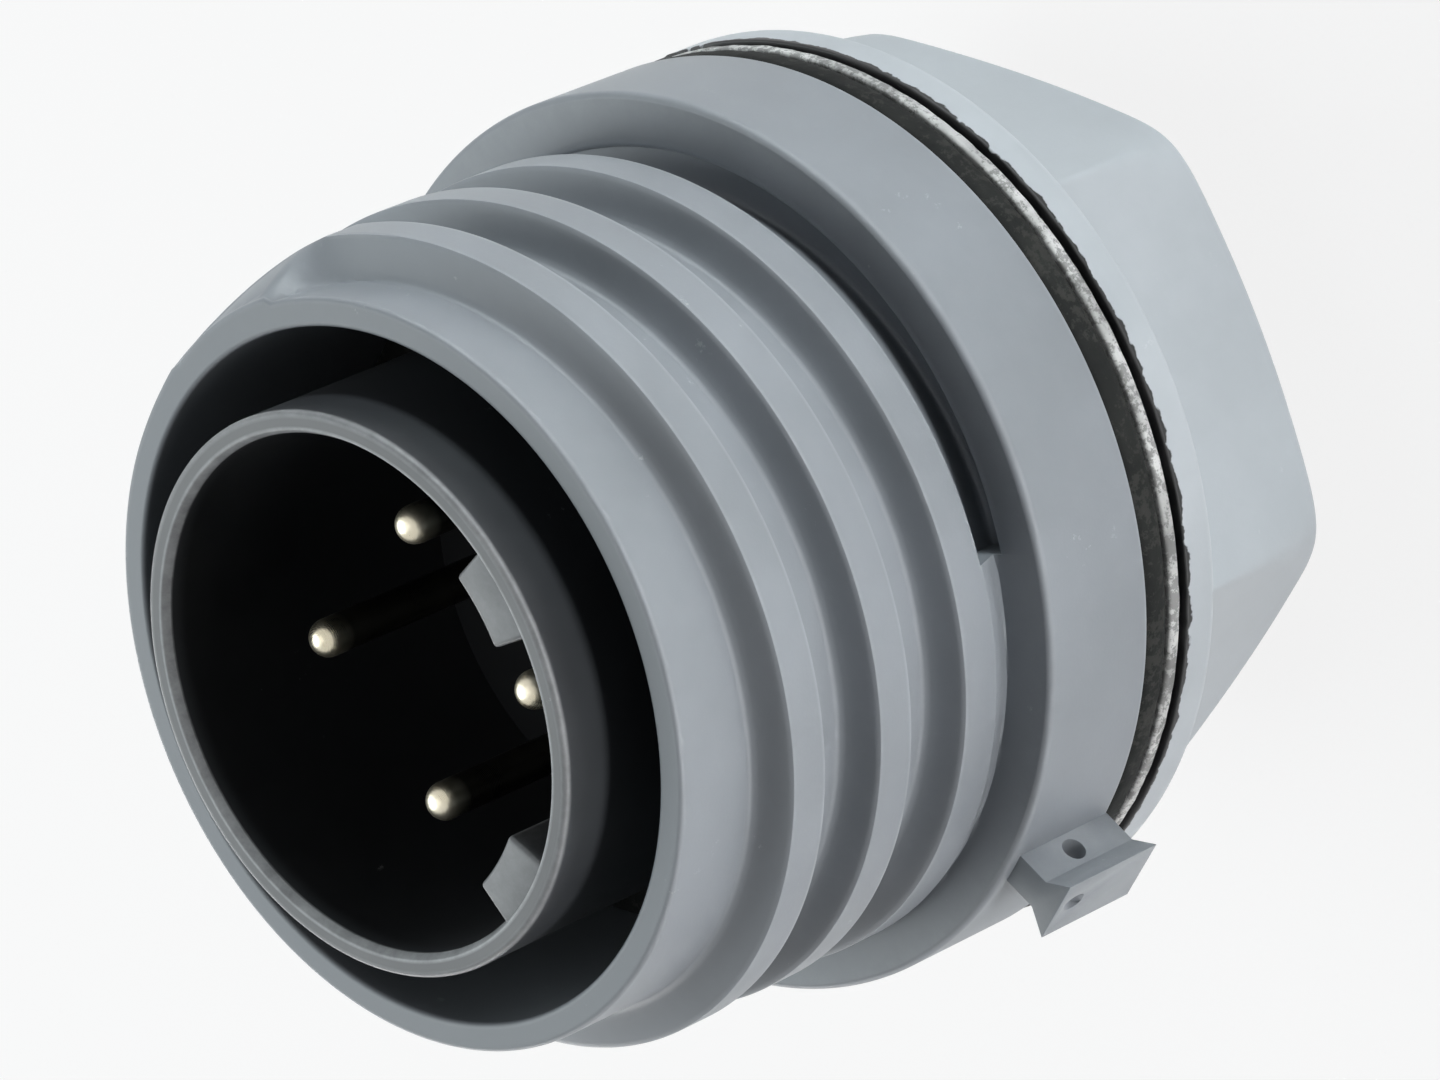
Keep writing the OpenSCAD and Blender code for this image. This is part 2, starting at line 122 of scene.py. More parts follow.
SHELL_TOP, BARREL_END = top_mm("housing"), foot_mm("housing")
SHROUD_TOP, BLOCK_END = top_mm("pin_carrier"), foot_mm("pin_carrier")
PIN_TIP, CONTACT_END = top_mm("contact_pin_1"), foot_mm("contact_pin_1")
NUT_TOP, NUT_END = top_mm("hex_nut"), foot_mm("hex_nut")
FLANGE_R, FLANGE_T = reach_mm("panel_gasket"), 7.3
SHELL_BORE_R, ROOT_R, CREST_R = 18.0, 19.5, 21.7
PLUG_DEPTH = 18.9
PLUG_FLOOR = SHELL_TOP - PLUG_DEPTH
BARREL_BORE_R, BARREL_MINOR_R, BARREL_R = 13.6, 15.1, 16.0
SEAM_AZIMUTH = -126.0
COLUMNS = 288
CRISP, EASED, BLUNT, SOFT, ROUND = 0.05, 0.1, 0.15, 0.2, 0.3
QUARTER = math.pi / 2
TINY = 1e-6
print("shell top %.2f, barrel end %.2f, flange radius %.2f mm" % (SHELL_TOP, BARREL_END, FLANGE_R))

# %% [markdown]
# ## From a section to a turned skin
# Most pieces here are round, as if turned on a lathe. A section is a list of points
# (radius, height, rounding): `rounded` replaces each corner by a small arc, because a real
# edge is never perfectly sharp and its thin highlight is what makes it look real. `turned`
# then carries the section round the axis. The Screw modifier could do the same, but plain
# code lets two neighbouring skins share exactly the same columns, so that they can be welded.

# %% Section and lathe helpers
ARC_STEPS = 5
GUARD = 0.15


def guarded(line, closed):
    """Adds a point near both ends of each long straight, so that shading stays at the edges."""
    spread = []
    for k, here in enumerate(line):
        spread.append(here)
        along = line[(k + 1) % len(line)] - here
        if along.length > 4 * GUARD and (closed or k + 1 < len(line)):
            inset = along.normalized() * GUARD
            spread += [here + inset, here + along - inset]
    return spread


def rounded(points, closed=False):
    line = []
    count = len(points)
    for k, (r, z, rounding) in enumerate(points):
        here = Vector((r, z))
        at_end = not closed and k in (0, count - 1)
        if rounding <= 0 or at_end:
            line.append(here)
            continue
        before = Vector(points[k - 1][:2]) - here
        after = Vector(points[(k + 1) % count][:2]) - here
        half = before.angle(after) / 2
        reach = rounding / math.tan(half)
        middle = here + (before.normalized() + after.normalized()).normalized() * (
            rounding / math.sin(half)
        )
        start = here + before.normalized() * reach - middle
        end = here + after.normalized() * reach - middle
        sweep = start.angle_signed(end)
        for step in range(ARC_STEPS + 1):
            turn = Matrix.Rotation(-sweep * step / ARC_STEPS, 2)
            line.append(middle + turn @ start)
    return guarded(line, closed)


def even_azimuths(count, first=0.0):
    return [math.radians(first) + math.tau * k / count for k in range(count)]


def between(rings, columns, closed=False):
    """Faces between neighbouring rings of points, and from the last ring back if closed."""
    faces = []
    for ring in range(rings if closed else rings - 1):
        here, upper = ring * columns, (ring + 1) % rings * columns
        for column in range(columns):
            beside = (column + 1) % columns
            faces.append((here + column, here + beside, upper + beside, upper + column))
    return faces


def turned(section, azimuths, closed=False):
    points = [
        (p.x * math.cos(a), p.x * math.sin(a), p.y) for p in section for a in azimuths
    ]
    return points, between(len(section), len(azimuths), closed)


# %% [markdown]
# ## Making and finishing a mesh
# `skin` turns points and faces into an object and welds the points that coincide.
# `finish_piece` is the last step of every piece. It points the faces outwards, shades them
# smooth except over real edges, and measures how strongly each point bulges. That measure is
# kept as the attribute "edge", so that a material can make the corners paler, as wear and as a
# painted highlight. Then the piece is parented to its body and given its finish, and the solids
# that it stands for are hidden.

# %% Mesh helpers
WELD = 2e-6
SHARP_DEG = 38
MOST_BULGE = 10.0


def skin(name, points, faces):
    mesh = bpy.data.meshes.new(name)
    mesh.from_pydata([Vector(p) * MM for p in points], [], faces)
    bm = bmesh.new()
    bm.from_mesh(mesh)
    bmesh.ops.remove_doubles(bm, verts=bm.verts, dist=WELD)
    bmesh.ops.dissolve_degenerate(bm, edges=bm.edges, dist=WELD / 2)
    bmesh.ops.recalc_face_normals(bm, faces=bm.faces)
    bm.to_mesh(mesh)
    bm.free()
    return placed(name, mesh)


def applied(piece):
    """Replaces the piece's mesh by what its modifiers make of it."""
    evaluated = piece.evaluated_get(bpy.context.evaluated_depsgraph_get())
    mesh = bpy.data.meshes.new_from_object(evaluated)
    piece.modifiers.clear()
    piece.data = mesh


def outward(mesh):
    """Points all faces outwards and counts the edges that don't join two faces."""
    bm = bmesh.new()
    bm.from_mesh(mesh)
    bmesh.ops.remove_doubles(bm, verts=bm.verts, dist=WELD / 4)
    bmesh.ops.recalc_face_normals(bm, faces=bm.faces)
    open_edges = sum(1 for e in bm.edges if not e.is_manifold)
    bm.to_mesh(mesh)
    bm.free()
    return open_edges


def mark_edges(mesh):
    """Stores how strongly each point bulges: how far its normal turns per millimetre."""
    count = len(mesh.vertices)
    place = np.empty(count * 3)
    normal = np.empty(count * 3)
    ends = np.empty(len(mesh.edges) * 2, dtype=np.int64)
    mesh.vertices.foreach_get("co", place)
    mesh.vertex_normals.foreach_get("vector", normal)
    mesh.edges.foreach_get("vertices", ends)
    place, normal, ends = place.reshape(-1, 3) / MM, normal.reshape(-1, 3), ends.reshape(-1, 2)
    step = place[ends[:, 1]] - place[ends[:, 0]]
    turn = normal[ends[:, 1]] - normal[ends[:, 0]]
    bulge = (turn * step).sum(axis=1) / np.maximum((step * step).sum(axis=1), TINY)
    strongest = np.zeros(count)
    for side in (0, 1):
        np.maximum.at(strongest, ends[:, side], bulge)
    attribute = mesh.attributes.new("edge", "FLOAT", "POINT")
    attribute.data.foreach_set("value", np.minimum(strongest, MOST_BULGE).astype(np.float32))


def finish_piece(piece, material, body, nodes):
    open_edges = outward(piece.data)
    piece.data.shade_smooth()
    piece.data.set_sharp_from_angle(angle=math.radians(SHARP_DEG))
    mark_edges(piece.data)
    piece.data.materials.clear()
    piece.data.materials.append(material)
    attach(piece, body)
    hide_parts(*nodes)
    triangles = sum(len(p.vertices) - 2 for p in piece.data.polygons)
    print("%s: %d triangles, %d open edges" % (piece.name, triangles, open_edges))


# %% [markdown]
# ## Sums inside node trees
# Both Geometry Nodes and shaders do their arithmetic in Math nodes. Wiring dozens of those by
# hand hides the formula, so `Num` wraps a socket: adding or multiplying two of them adds the
# Math node and its links. The tree that comes out is an ordinary one.

# %% A number that flows through a node tree
class Num:
    def __init__(self, tree, socket):
        self.tree, self.socket = tree, socket

    def math(self, operation, *others):
        node = self.tree.nodes.new("ShaderNodeMath")
        node.operation = operation
        for place, value in zip(node.inputs, (self, *others)):
            connect(self.tree, value, place)
        return Num(self.tree, node.outputs[0])

    def __add__(self, other):
        return self.math("ADD", other)

    def __sub__(self, other):
        return self.math("SUBTRACT", other)

    def __mul__(self, other):
        return self.math("MULTIPLY", other)

    def __truediv__(self, other):
        return self.math("DIVIDE", other)

    def __gt__(self, other):
        return self.math("GREATER_THAN", other)

    def __lt__(self, other):
        return self.math("LESS_THAN", other)

    def clamped(self):
        result = self.math("ADD", 0.0)
        result.socket.node.use_clamp = True
        return result

    def from_one(self):
        """What is left of one when this number is taken away."""
        return self * -1.0 + 1.0


def connect(tree, source, place):
    """Gives an input a plain value, a Num or another node's socket."""
    if isinstance(source, Num):
        source = source.socket
    if isinstance(source, bpy.types.NodeSocket):
        tree.links.new(source, place)
    else:
        place.default_value = source


# %% [markdown]
# ## Node groups in few words
# A node group needs its sockets declared, its nodes added and their inputs connected. `new_tree`
# takes labels with their kinds of value, and `wired` adds a node and connects the inputs that
# are named in the call. A modifier's inputs are set by identifier, as `use_tree` does.

# %% Node groups
def new_tree(name, kind, inputs, outputs):
    """Makes a node group and returns it with its inputs, as Nums, and its output node."""
    tree = bpy.data.node_groups.new(name, kind + "NodeTree")
    for side, sockets in (("INPUT", inputs), ("OUTPUT", outputs)):
        for label, value in sockets.items():
            tree.interface.new_socket(label, in_out=side, socket_type="NodeSocket" + value)
    given, made = tree.nodes.new("NodeGroupInput"), tree.nodes.new("NodeGroupOutput")
    return tree, {s.name: Num(tree, s) for s in given.outputs if s.name}, made


def wired(tree, kind, **sources):
    node = tree.nodes.new(kind)
    for label, source in sources.items():
        connect(tree, source, node.inputs[label.replace("_", " ")])
    return node


def polar(tree, radius, azimuth, height=0.0):
    """A place given by its radius, azimuth and height."""
    x, y = radius * azimuth.math("COSINE"), radius * azimuth.math("SINE")
    return wired(tree, "ShaderNodeCombineXYZ", X=x, Y=y, Z=height).outputs[0]


def painted(tree, geometry, material, made):
    """Ends a Geometry Nodes tree: makes instances real and sets the material."""
    real = wired(tree, "GeometryNodeRealizeInstances", Geometry=geometry)
    paint = wired(tree, "GeometryNodeSetMaterial", Geometry=real.outputs[0], Material=material)
    connect(tree, paint.outputs[0], made.inputs[0])


def use_tree(piece, tree, values):
    """Runs a Geometry Nodes tree on a piece with these inputs and keeps the plain mesh."""
    modifier = piece.modifiers.new(tree.name, "NODES")
    modifier.node_group = tree
    for item in tree.interface.items_tree:
        if item.in_out == "INPUT" and item.name in values:
            modifier[item.identifier] = values[item.name]
    applied(piece)


# %% [markdown]
# ## The rule of a thread
# A thread is a ridge that climbs round a cylinder. One could sweep a profile along a helix,
# but the swept ridge would only lie on the wall. Here a flat grid becomes the wall itself:
# its rows follow the helix, so every row keeps its place on the ridge and flanks stay crisp.
# The tree has named sizes, so the same rule makes the coarse thread of the shell and the fine
# threads of the barrel and of the nut. First each point learns its azimuth and its height.
# Rows crowd where crest and flank meet, because the form bends most there.

# %% Sizes of a thread
LENGTHS = (
    "Pitch", "Root Radius", "Crest Radius", "Crest Width", "Root Round", "Edge Round",
    "Start Height", "Bottom", "Below", "Top", "Top Round", "Top Radius", "Foot Round",
    "Foot Radius", "Bottom Fade", "Top Fade",
)
ANGLES = ("Flank", "Start Azimuth", "Rise", "Sink", "Start Fill", "Seam Azimuth", "Fill")
FLANK_BUNCHING, CREST_BUNCHING = 0.75, 0.25
FOOT_ROWS, TOP_ROWS, SPARE_PITCHES = 7, 6, 3.0
POCKET_EDGE, POCKET_LIFT = 0.7 * MM, 0.15 * MM


# %% Where each point of the grid lies
def helix_grid(tree, size):
    """A grid one column wider than the turn: its last strip is the groove's end wall."""
    pitch, columns, seam = size["Pitch"], size["Columns"], size["Seam Azimuth"]
    bottom, top = size["Bottom"], size["Top"]
    lowest, half_crest = bottom - size["Below"], size["Crest Width"] * 0.5
    main_rows = ((top - bottom + size["Below"]) / pitch).math("CEIL") + SPARE_PITCHES
    main_rows = main_rows * size["Rows per Pitch"] + (FOOT_ROWS + 1.0)
    rows = main_rows + (TOP_ROWS + 2.0)
    grid = wired(
        tree, "GeometryNodeMeshGrid", Size_X=columns + 1.0, Size_Y=rows - 1.0,
        Vertices_X=columns + 2.0, Vertices_Y=rows,
    )
    spot = tree.nodes.new("GeometryNodeInputPosition").outputs[0]
    spot = wired(tree, "ShaderNodeSeparateXYZ", Vector=spot).outputs
    column = (Num(tree, spot["X"]) + (columns + 1.0) * 0.5).math("ROUND")
    row = (Num(tree, spot["Y"]) + (rows - 1.0) * 0.5).math("ROUND")

    # Round the axis, the share of a turn since the seam, and where the ridge passes there
    share = column.math("MINIMUM", columns) / columns
    ridge_at_seam = size["Start Height"] + pitch * (seam - size["Start Azimuth"]) / math.tau
    behind_end = (share > (size["Fill"] / -math.tau + 1.0)) * (column < (columns + 0.5))

    # The groove may run below the flange's face, down to the front edge of the buried ridge
    buried = ((bottom + half_crest - ridge_at_seam) / pitch - share).math("FLOOR")
    buried = ridge_at_seam + pitch * (buried + share) + half_crest + POCKET_LIFT
    floor = buried.math("MINIMUM", bottom).math("MAXIMUM", lowest)
    floor = floor + (bottom - floor) * behind_end

    # Along the axis, a row that follows the helix and bunches where crest and flank meet
    first = ((lowest - ridge_at_seam) / pitch).math("FLOOR") - 1.0
    phase = (row - float(FOOT_ROWS)) / size["Rows per Pitch"]
    bunched = phase + (phase * (2 * math.tau)).math("SINE") * (FLANK_BUNCHING / (2 * math.tau))
    bunched = bunched - (phase * math.tau).math("SINE") * (CREST_BUNCHING / math.tau)
    height = ridge_at_seam + pitch * (first + bunched + share)
    height = height.math("MAXIMUM", floor).math("MINIMUM", top - size["Top Round"])
    return SimpleNamespace(
        mesh=grid.outputs["Mesh"], row=row, main_rows=main_rows, share=share,
        azimuth=seam + share * math.tau, ridge_at_seam=ridge_at_seam, half_crest=half_crest,
        behind_end=behind_end, floor=floor, height=height,
    )


# %% [markdown]
# ## The ridge and its start
# Each point asks how far it is from the middle of the nearest ridge, and that distance gives
# its radius: crest, flank or root, with smooth minimum and maximum as the fillets. The ridge
# starts level with the front edge and sinks from there to its own height. Until it has nearly
# sunk, one bulging face fills the gap in front of it. Then the groove opens quickly, as if a
# round cutter had entered there.

# %% From a place on the helix to a radius
OPENING = math.radians(16)
RUN_OUT, RUN_IN, CUT_IN = 0.7, 0.8, 6.0
FILL_BLEND = 0.15 * MM


def ridge_wall(size, at):
    """The wall's radius by the nearest ridge. Rows in front of a sinking ridge move with it."""
    pitch, top, half_crest = size["Pitch"], size["Top"], at.half_crest
    root, crest = size["Root Radius"], size["Crest Radius"]

    # The nearest ridge that has started, and how far it has come
    steps = (at.height - at.ridge_at_seam) / pitch - at.share
    started = ((size["Start Height"] - at.ridge_at_seam) / pitch - at.share).math("FLOOR")
    nearest = steps.math("ROUND").math("MINIMUM", started)
    ridge_height = at.ridge_at_seam + pitch * (at.share + nearest)
    turn = (size["Start Height"] - ridge_height) / pitch * math.tau

    # How far its front is still lifted, and how far each row is from the crest's middle
    sunk = (turn / size["Sink"]).clamped()
    sunk = sunk * sunk * (sunk * -2.0 + 3.0)
    gap = top - ridge_height - half_crest
    lifted = gap * sunk.from_one()
    height = at.height + lifted * ((at.height - ridge_height) / half_crest).clamped()
    height = height.math("MINIMUM", top - size["Top Round"])
    at.height = height
    offset = height - ridge_height
    away = (offset - lifted * (offset > 0.0)).math("MAXIMUM", 0.0)
    away = away.math("MAXIMUM", offset * -1.0)

    # Crest, flank and root
    rise = (turn / size["Rise"]).clamped()
    rise = rise * ((height - size["Bottom"] + size["Below"] + TINY) / size["Bottom Fade"]).clamped()
    rise = rise * ((top - height + TINY) / size["Top Fade"]).clamped()
    low = root - size["Root Round"]
    flat = low + (crest - low) * rise
    flank = crest + (half_crest - away) / size["Flank"].math("TANGENT")
    ridge = flank.math("SMOOTH_MIN", flat, size["Edge Round"])
    wall = ridge.math("SMOOTH_MAX", root, size["Root Round"])

    # The face that fills the gap, and the groove's mouth
    past = turn - size["Start Fill"]
    opened = (past / OPENING).clamped().math("POWER", RUN_IN)
    climb = ((offset - half_crest - lifted) / (gap - lifted).math("MAXIMUM", TINY)).clamped()
    bulging = climb.from_one().math("POWER", RUN_OUT)
    filler = root + (flat - root) * bulging - (crest - root) * opened * climb * CUT_IN
    outside = (offset < (half_crest + lifted)).math("MAXIMUM", past > OPENING)
    return wall.math("SMOOTH_MAX", filler - outside * crest, FILL_BLEND)


# %% [markdown]
# ## The thread's foot and its front edge
# At the flange the last groove runs below the flange's face, in a pocket with a soft edge, and
# ends square. Behind that end it is filled up to the ridge. The first rows of the grid lie flat
# on the flange's face, and the last ones go round the front edge, so that both ends meet the
# turned skins and can be welded to them.

# %% Foot and front edge
FOOT_GUARD = 2.0
FACE_SHARES = (0.15, 0.7, 0.15)


def foot_of_thread(size, at, wall):
    """Fills the groove behind its end, fillets the foot and lays the first rows out."""
    pitch, bottom, foot = size["Pitch"], size["Bottom"], size["Foot Round"]
    root, crest = size["Root Radius"], size["Crest Radius"]
    last = ((bottom - at.ridge_at_seam) / pitch).math("CEIL") + at.share - 1.0
    under = at.ridge_at_seam + pitch * last - at.height
    filled = at.behind_end * (under > -TINY)
    dip = (under - at.half_crest).math("MAXIMUM", 0.0) * size["Fill Slope"]
    base = root + (crest - dip - root) * filled
    below = (at.floor + foot - at.height).math("MAXIMUM", 0.0)
    flare = foot - (foot * foot - below * below).math("MAXIMUM", 0.0).math("SQRT")
    radius = wall.math("MAXIMUM", base + flare)

    # From the foot circle inwards, over the pocket's soft edge and down its wall
    edge = (bottom - at.floor).math("MINIMUM", POCKET_EDGE)
    at_foot = at.row < (FOOT_ROWS - 0.5)
    bend = ((at.row - 1.0) / (FOOT_ROWS - 2.0)).clamped() * QUARTER
    face = bottom - edge * bend.math("COSINE").from_one()
    at.height = at.height + (face - at.height) * at_foot
    radius = radius + edge * bend.math("SINE").from_one() * at_foot
    radius = radius + (at.row < 1.5) * foot * FOOT_GUARD
    return radius + (size["Foot Radius"] - radius) * (at.row < 0.5)


def front_of_thread(size, at, radius):
    """Takes the last rows round the front edge and inwards to the top circle."""
    over = (at.row - at.main_rows + 1.0).math("MAXIMUM", 0.0)
    bend = over.math("MINIMUM", TOP_ROWS - 1.0) * (QUARTER / (TOP_ROWS - 1))
    at.height = at.height + size["Top Round"] * bend.math("SINE")
    radius = radius - size["Top Round"] * bend.math("COSINE").from_one()
    inwards = (over > (TOP_ROWS - 0.5)) * FACE_SHARES[0]
    for extra in (1, 2):
        inwards = inwards + (over > (TOP_ROWS - 0.5 + extra)) * FACE_SHARES[extra]
    return radius + (size["Top Radius"] - radius) * inwards


# %% Geometry Nodes: thread_wall
def thread_wall_tree():
    floats = dict.fromkeys((*LENGTHS, *ANGLES, "Fill Slope"), "Float")
    tree, size, made = new_tree(
        "thread_wall", "Geometry",
        {"Blank": "Geometry", "Columns": "Int", "Rows per Pitch": "Int", **floats,
         "Material": "Material"},
        {"Geometry": "Geometry"},
    )
    at = helix_grid(tree, size)
    radius = foot_of_thread(size, at, ridge_wall(size, at))
    radius = front_of_thread(size, at, radius)
    spot = polar(tree, radius, at.azimuth, at.height)
    wrap = wired(tree, "GeometryNodeSetPosition", Geometry=at.mesh, Position=spot)
    join = wired(tree, "GeometryNodeJoinGeometry", Geometry=wrap.outputs[0])
    connect(tree, size["Blank"], join.inputs[0])
    weld = wired(tree, "GeometryNodeMergeByDistance", Geometry=join.outputs[0], Distance=WELD)
    painted(tree, weld.outputs[0], size["Material"], made)
    return tree


THREAD_WALL = thread_wall_tree()
print("thread_wall has", len(THREAD_WALL.nodes), "nodes")


def threaded(piece, material, sizes):
    """Welds a threaded wall into a piece, with lengths in millimetres and angles in degrees."""
    values = {"Columns": COLUMNS, "Material": material, **sizes}
    for label, value in sizes.items():
        if label in LENGTHS:
            values[label] = value * MM
        elif label in ANGLES:
            values[label] = math.radians(value)
    use_tree(piece, THREAD_WALL, values)


# %% [markdown]
# ## Copies on a circle
# The four contacts and the four clamp screws stand on one pitch circle. This tree sets copies
# of one piece on the points of a circle and turns each copy to face outwards, so its local
# +X always points away from the axis. Realize Instances makes them plain mesh again.

# %% Geometry Nodes: copies_on_circle
def copies_on_circle_tree():
    tree, given, made = new_tree(
        "copies_on_circle", "Geometry",
        {"Piece": "Geometry", "Count": "Int", "Circle Radius": "Float", "First Azimuth": "Float",
         "Material": "Material"},
        {"Geometry": "Geometry"},
    )
    index = Num(tree, tree.nodes.new("GeometryNodeInputIndex").outputs[0])
    azimuth = given["First Azimuth"] + index * math.tau / given["Count"]
    circle = wired(tree, "GeometryNodeMeshCircle", Vertices=given["Count"])
    spot = polar(tree, given["Circle Radius"], azimuth)
    place = wired(tree, "GeometryNodeSetPosition", Geometry=circle.outputs[0], Position=spot)
    facing = wired(tree, "ShaderNodeCombineXYZ", Z=azimuth)
    copies = wired(
        tree, "GeometryNodeInstanceOnPoints", Points=place.outputs[0], Instance=given["Piece"],
        Rotation=facing.outputs[0],
    )
    painted(tree, copies.outputs[0], given["Material"], made)
    return tree


COPIES_ON_CIRCLE = copies_on_circle_tree()
print("copies_on_circle has", len(COPIES_ON_CIRCLE.nodes), "nodes")

# %% [markdown]
# ## Shared effects of the finishes
# Three effects come back in several materials, so each is a shader group with its own sizes.
# `moulded_grain` is the fine skin that a mould leaves, with slow clouds of tone. The edge group
# picks the corners out of the "edge" attribute and breaks them up; the paler tone it marks on the
# corners is partly wear and partly a painted highlight along the edges. `settled_dust` gives
# small specks and lint. The groups only put out values; each material decides what they change.

# %% Shader groups
CLOUD_FROM, CLOUD_SPAN, CLOUD_HEIGHT = 0.35, 0.3, 0.25
WEAR_AND_HIGHLIGHT_SCALE = 700.0
DRIFT_SCALE, DRIFT_SHARE, SPECK_EDGE = 0.18, 0.5, 0.06


def noise_value(tree, vector, scale, detail=2.0, roughness=0.5):
    cloud = wired(
        tree, "ShaderNodeTexNoise", Vector=vector, Scale=scale, Detail=detail, Roughness=roughness
    )
    return Num(tree, cloud.outputs["Fac"])


def moulded_grain_group():
    tree, given, made = new_tree(
        "moulded_grain", "Shader",
        {"Vector": "Vector", "Grain Scale": "Float", "Cloud Scale": "Float"},
        {"Height": "Float", "Cloud": "Float"},
    )
    fine = noise_value(tree, given["Vector"], given["Grain Scale"], 3.0)
    cloud = noise_value(tree, given["Vector"], given["Cloud Scale"], 4.0, 0.6)
    connect(tree, fine + cloud * CLOUD_HEIGHT, made.inputs["Height"])
    connect(tree, ((cloud - CLOUD_FROM) / CLOUD_SPAN).clamped(), made.inputs["Cloud"])
    return tree


# Marks the corners for a paler tone, which is partly wear and partly a painted highlight along the
# edges.
def wear_and_highlight_edge_group():
    tree, given, made = new_tree(
        "wear_and_highlight_edge", "Shader", {"Vector": "Vector", "From": "Float", "To": "Float"},
        {"Mask": "Float"},
    )
    bulge = tree.nodes.new("ShaderNodeAttribute")
    bulge.attribute_name = "edge"
    span = given["To"] - given["From"]
    corner = ((Num(tree, bulge.outputs["Fac"]) - given["From"]) / span).clamped()
    patchy = noise_value(tree, given["Vector"], WEAR_AND_HIGHLIGHT_SCALE, 4.0, 0.7)
    connect(tree, corner * patchy, made.inputs["Mask"])
    return tree


def settled_dust_group():
    tree, given, made = new_tree(
        "settled_dust", "Shader", {"Vector": "Vector", "Scale": "Float", "Amount": "Float"},
        {"Mask": "Float"},
    )
    specks = noise_value(tree, given["Vector"], given["Scale"], 6.0, 0.75)
    drift = noise_value(tree, given["Vector"], given["Scale"] * DRIFT_SCALE)
    above = specks + (drift - 0.5) * DRIFT_SHARE - given["Amount"].from_one()
    connect(tree, (above / SPECK_EDGE).clamped(), made.inputs["Mask"])
    return tree


MOULDED_GRAIN = moulded_grain_group()
WEAR_AND_HIGHLIGHT_EDGE = wear_and_highlight_edge_group()
SETTLED_DUST = settled_dust_group()
print("shader groups:", [g.name for g in (MOULDED_GRAIN, WEAR_AND_HIGHLIGHT_EDGE, SETTLED_DUST)])

# %% [markdown]
# ## Material helpers
# A finish starts as a Principled BSDF. `Finish` keeps the few links that each one needs:
# place a group on Object coordinates, blend two colours by a mask, and feed a bump. Numbers
# that are the same all over stay on the shader's own sockets.

# %% The Finish helper
MIX_FIRST, MIX_SECOND, MIX_RESULT = 6, 7, 2


class Finish:
    def __init__(self, name, metallic=0.0, specular=0.5):
        self.material = bpy.data.materials.new(name)
        self.material.use_nodes = True
        self.tree = self.material.node_tree
        self.shader = self.tree.nodes["Principled BSDF"]
        self.shader.inputs["Metallic"].default_value = metallic
        self.shader.inputs["Specular IOR Level"].default_value = specular
        self.vector = self.tree.nodes.new("ShaderNodeTexCoord").outputs["Object"]

    def effect(self, group, **sizes):
        node = self.tree.nodes.new("ShaderNodeGroup")
        node.node_tree = group
        for label, value in {"Vector": self.vector, **sizes}.items():
            connect(self.tree, value, node.inputs[label.replace("_", " ")])
        return {s.name: Num(self.tree, s) for s in node.outputs}

    def along_axis(self):
        parts = wired(self.tree, "ShaderNodeSeparateXYZ", Vector=self.vector)
        return Num(self.tree, parts.outputs["Z"])

    def blend(self, mask, first, second):
        node = self.tree.nodes.new("ShaderNodeMix")
        node.data_type = "RGBA"
        connect(self.tree, mask, node.inputs["Factor"])
        for place, colour in ((MIX_FIRST, first), (MIX_SECOND, second)):
            if isinstance(colour, tuple):
                colour = (*colour, 1.0)
            connect(self.tree, colour, node.inputs[place])
        return node.outputs[MIX_RESULT]

    def feed(self, socket, value):
        connect(self.tree, value, self.shader.inputs[socket])

    def bump(self, height, depth_mm, strength):
        node = wired(
            self.tree, "ShaderNodeBump", Strength=strength, Distance=depth_mm * MM, Height=height
        )
        self.feed("Normal", node.outputs[0])


# %% [markdown]
# ## Moulded plastics
# The shell and the nut are a grey engineering plastic with a satin skin: its tone drifts a
# little, its gloss is uneven, and corners are paler, partly as wear from hands and tools and
# partly as a painted highlight along the edges. The nut is painted paler as a whole, standing in
# for the stronger light it catches, and a painted shade darkens the gap in front of its collar.
# The carrier is the same family of plastic, much darker and a little smoother, with a scuffed,
# pale front rim; its near-black tone is partly its own and partly painted shade for the deep
# shroud.

# %% Shell, nut and carrier plastic
# Bulge at which corners begin and end being painted paler, as wear and as a painted highlight.
WEAR_AND_HIGHLIGHT_FROM, WEAR_AND_HIGHLIGHT_TO = 1.0, 7.0
DUST_SHARE, SCUFF_SHARE, SCUFF_DEPTH, SCUFF_FADE = 0.5, 0.16, 0.45, 0.3
# Painted shade: a near-black tone on the nut's seat ring, for the shadow in the gap between washer
# and collar.
GAP_SHADE_TONE, GAP_SHADE_DEPTH, GAP_SHADE_EDGE = (0.010, 0.010, 0.011), 0.6, 0.08
GAP_SHADE_RAGGED, GAP_SHADE_SCALE = 0.9, 1100.0
CLOUD_DULLS, DUST_DULLS, MOULD_BUMP = 0.08, 0.15, 0.35


